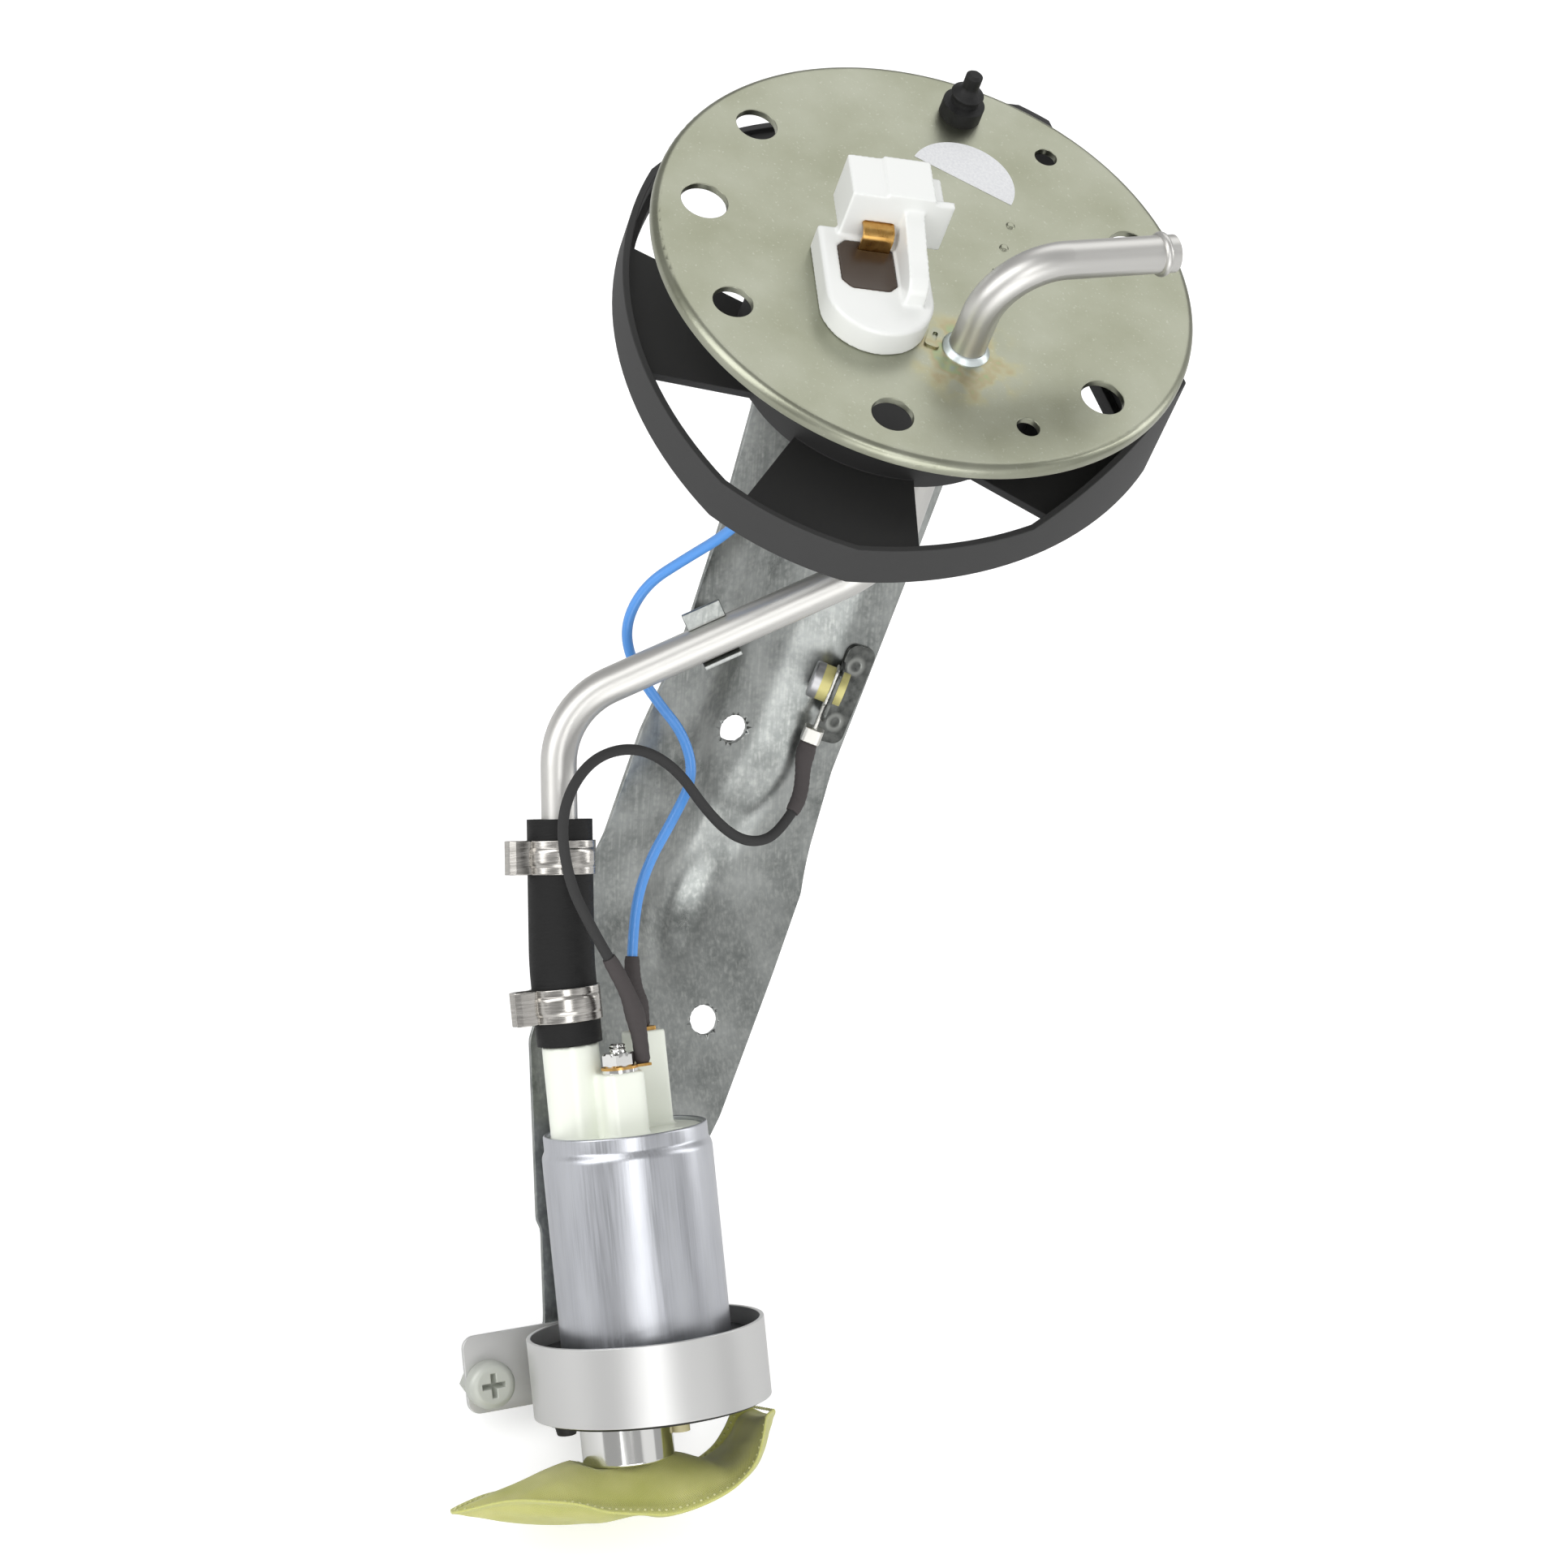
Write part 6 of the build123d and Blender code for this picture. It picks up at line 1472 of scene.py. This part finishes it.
def seam_dots(name):
    """The dots of the heat weld round the bag's rim."""
    steps = 200
    line = []
    for c in (1.0, -1.0):
        shares = [k / steps for k in range(steps + 1)]
        for t in (shares if c > 0 else shares[::-1]):
            t = 0.012 + 0.976 * t
            line.append(in_hang(*sock_place(t, c * (1 - min(1.1 / sock_half(t, c), 0.5)), 1)))
    mesh = bpy.data.meshes.new(name + "_line")
    count = len(line)
    mesh.from_pydata([tuple(p) for p in line], [(k, (k + 1) % count) for k in range(count)], [])
    made = grown(weld_tree(), {"Spacing": wm().dot_spacing * MM, "Radius": 0.36 * MM,
                               "Material": finish_from(heat_weld)}, Matrix.Identity(4), mesh)
    made.name = name
    made.shade_smooth()
    return made


class PUMP_OT_strainer(bpy.types.Operator):
    """Sew the strainer bag and finish its collar and peg"""
    bl_idname = "pump.strainer"
    bl_label = "Strainer"

    def execute(self, context):
        bag = add_piece("strainer_bag", sock_mesh("strainer_bag"), woven_mesh, stands_for=("filter_sock",))
        add_piece("weld_dots", seam_dots("weld_dots"), heat_weld)
        dress_nodes(bright_steel, "inlet_collar")
        dress_nodes(amber_nylon, "locating_peg")
        return {"FINISHED"}


class PUMP_PT_panel(bpy.types.Panel):
    """The module's pieces and looks"""
    bl_label = "Fuel Pump Module"
    bl_space_type = "VIEW_3D"
    bl_region_type = "UI"
    bl_category = "Fuel Pump"

    def draw(self, context):
        looks = context.scene.pump_looks
        for key in looks.bl_rna.properties.keys():
            if key not in ("rna_type", "name"):
                self.layout.prop(looks, key)
        for operator in OPERATORS:
            self.layout.operator(operator.bl_idname)


OPERATORS = (
    PUMP_OT_stage,
    PUMP_OT_wires,
    PUMP_OT_plate,
    PUMP_OT_connector,
    PUMP_OT_bracket,
    PUMP_OT_baffle,
    PUMP_OT_pump,
    PUMP_OT_hose,
    PUMP_OT_terminals,
    PUMP_OT_strap,
    PUMP_OT_strainer,
)


def register():
    """Adds the classes and the settings."""
    for kind in (PumpLooks, *OPERATORS, PUMP_PT_panel):
        bpy.utils.register_class(kind)
    bpy.types.Scene.pump_looks = bpy.props.PointerProperty(type=PumpLooks)


def unregister():
    """Takes the settings and the classes away."""
    del bpy.types.Scene.pump_looks
    for kind in reversed((PumpLooks, *OPERATORS, PUMP_PT_panel)):
        bpy.utils.unregister_class(kind)


def main():
    """Makes everything in order."""
    register()
    for operator in OPERATORS:
        family, action = operator.bl_idname.split(".")
        getattr(getattr(bpy.ops, family), action)()


if __name__ == "__main__":
    main()
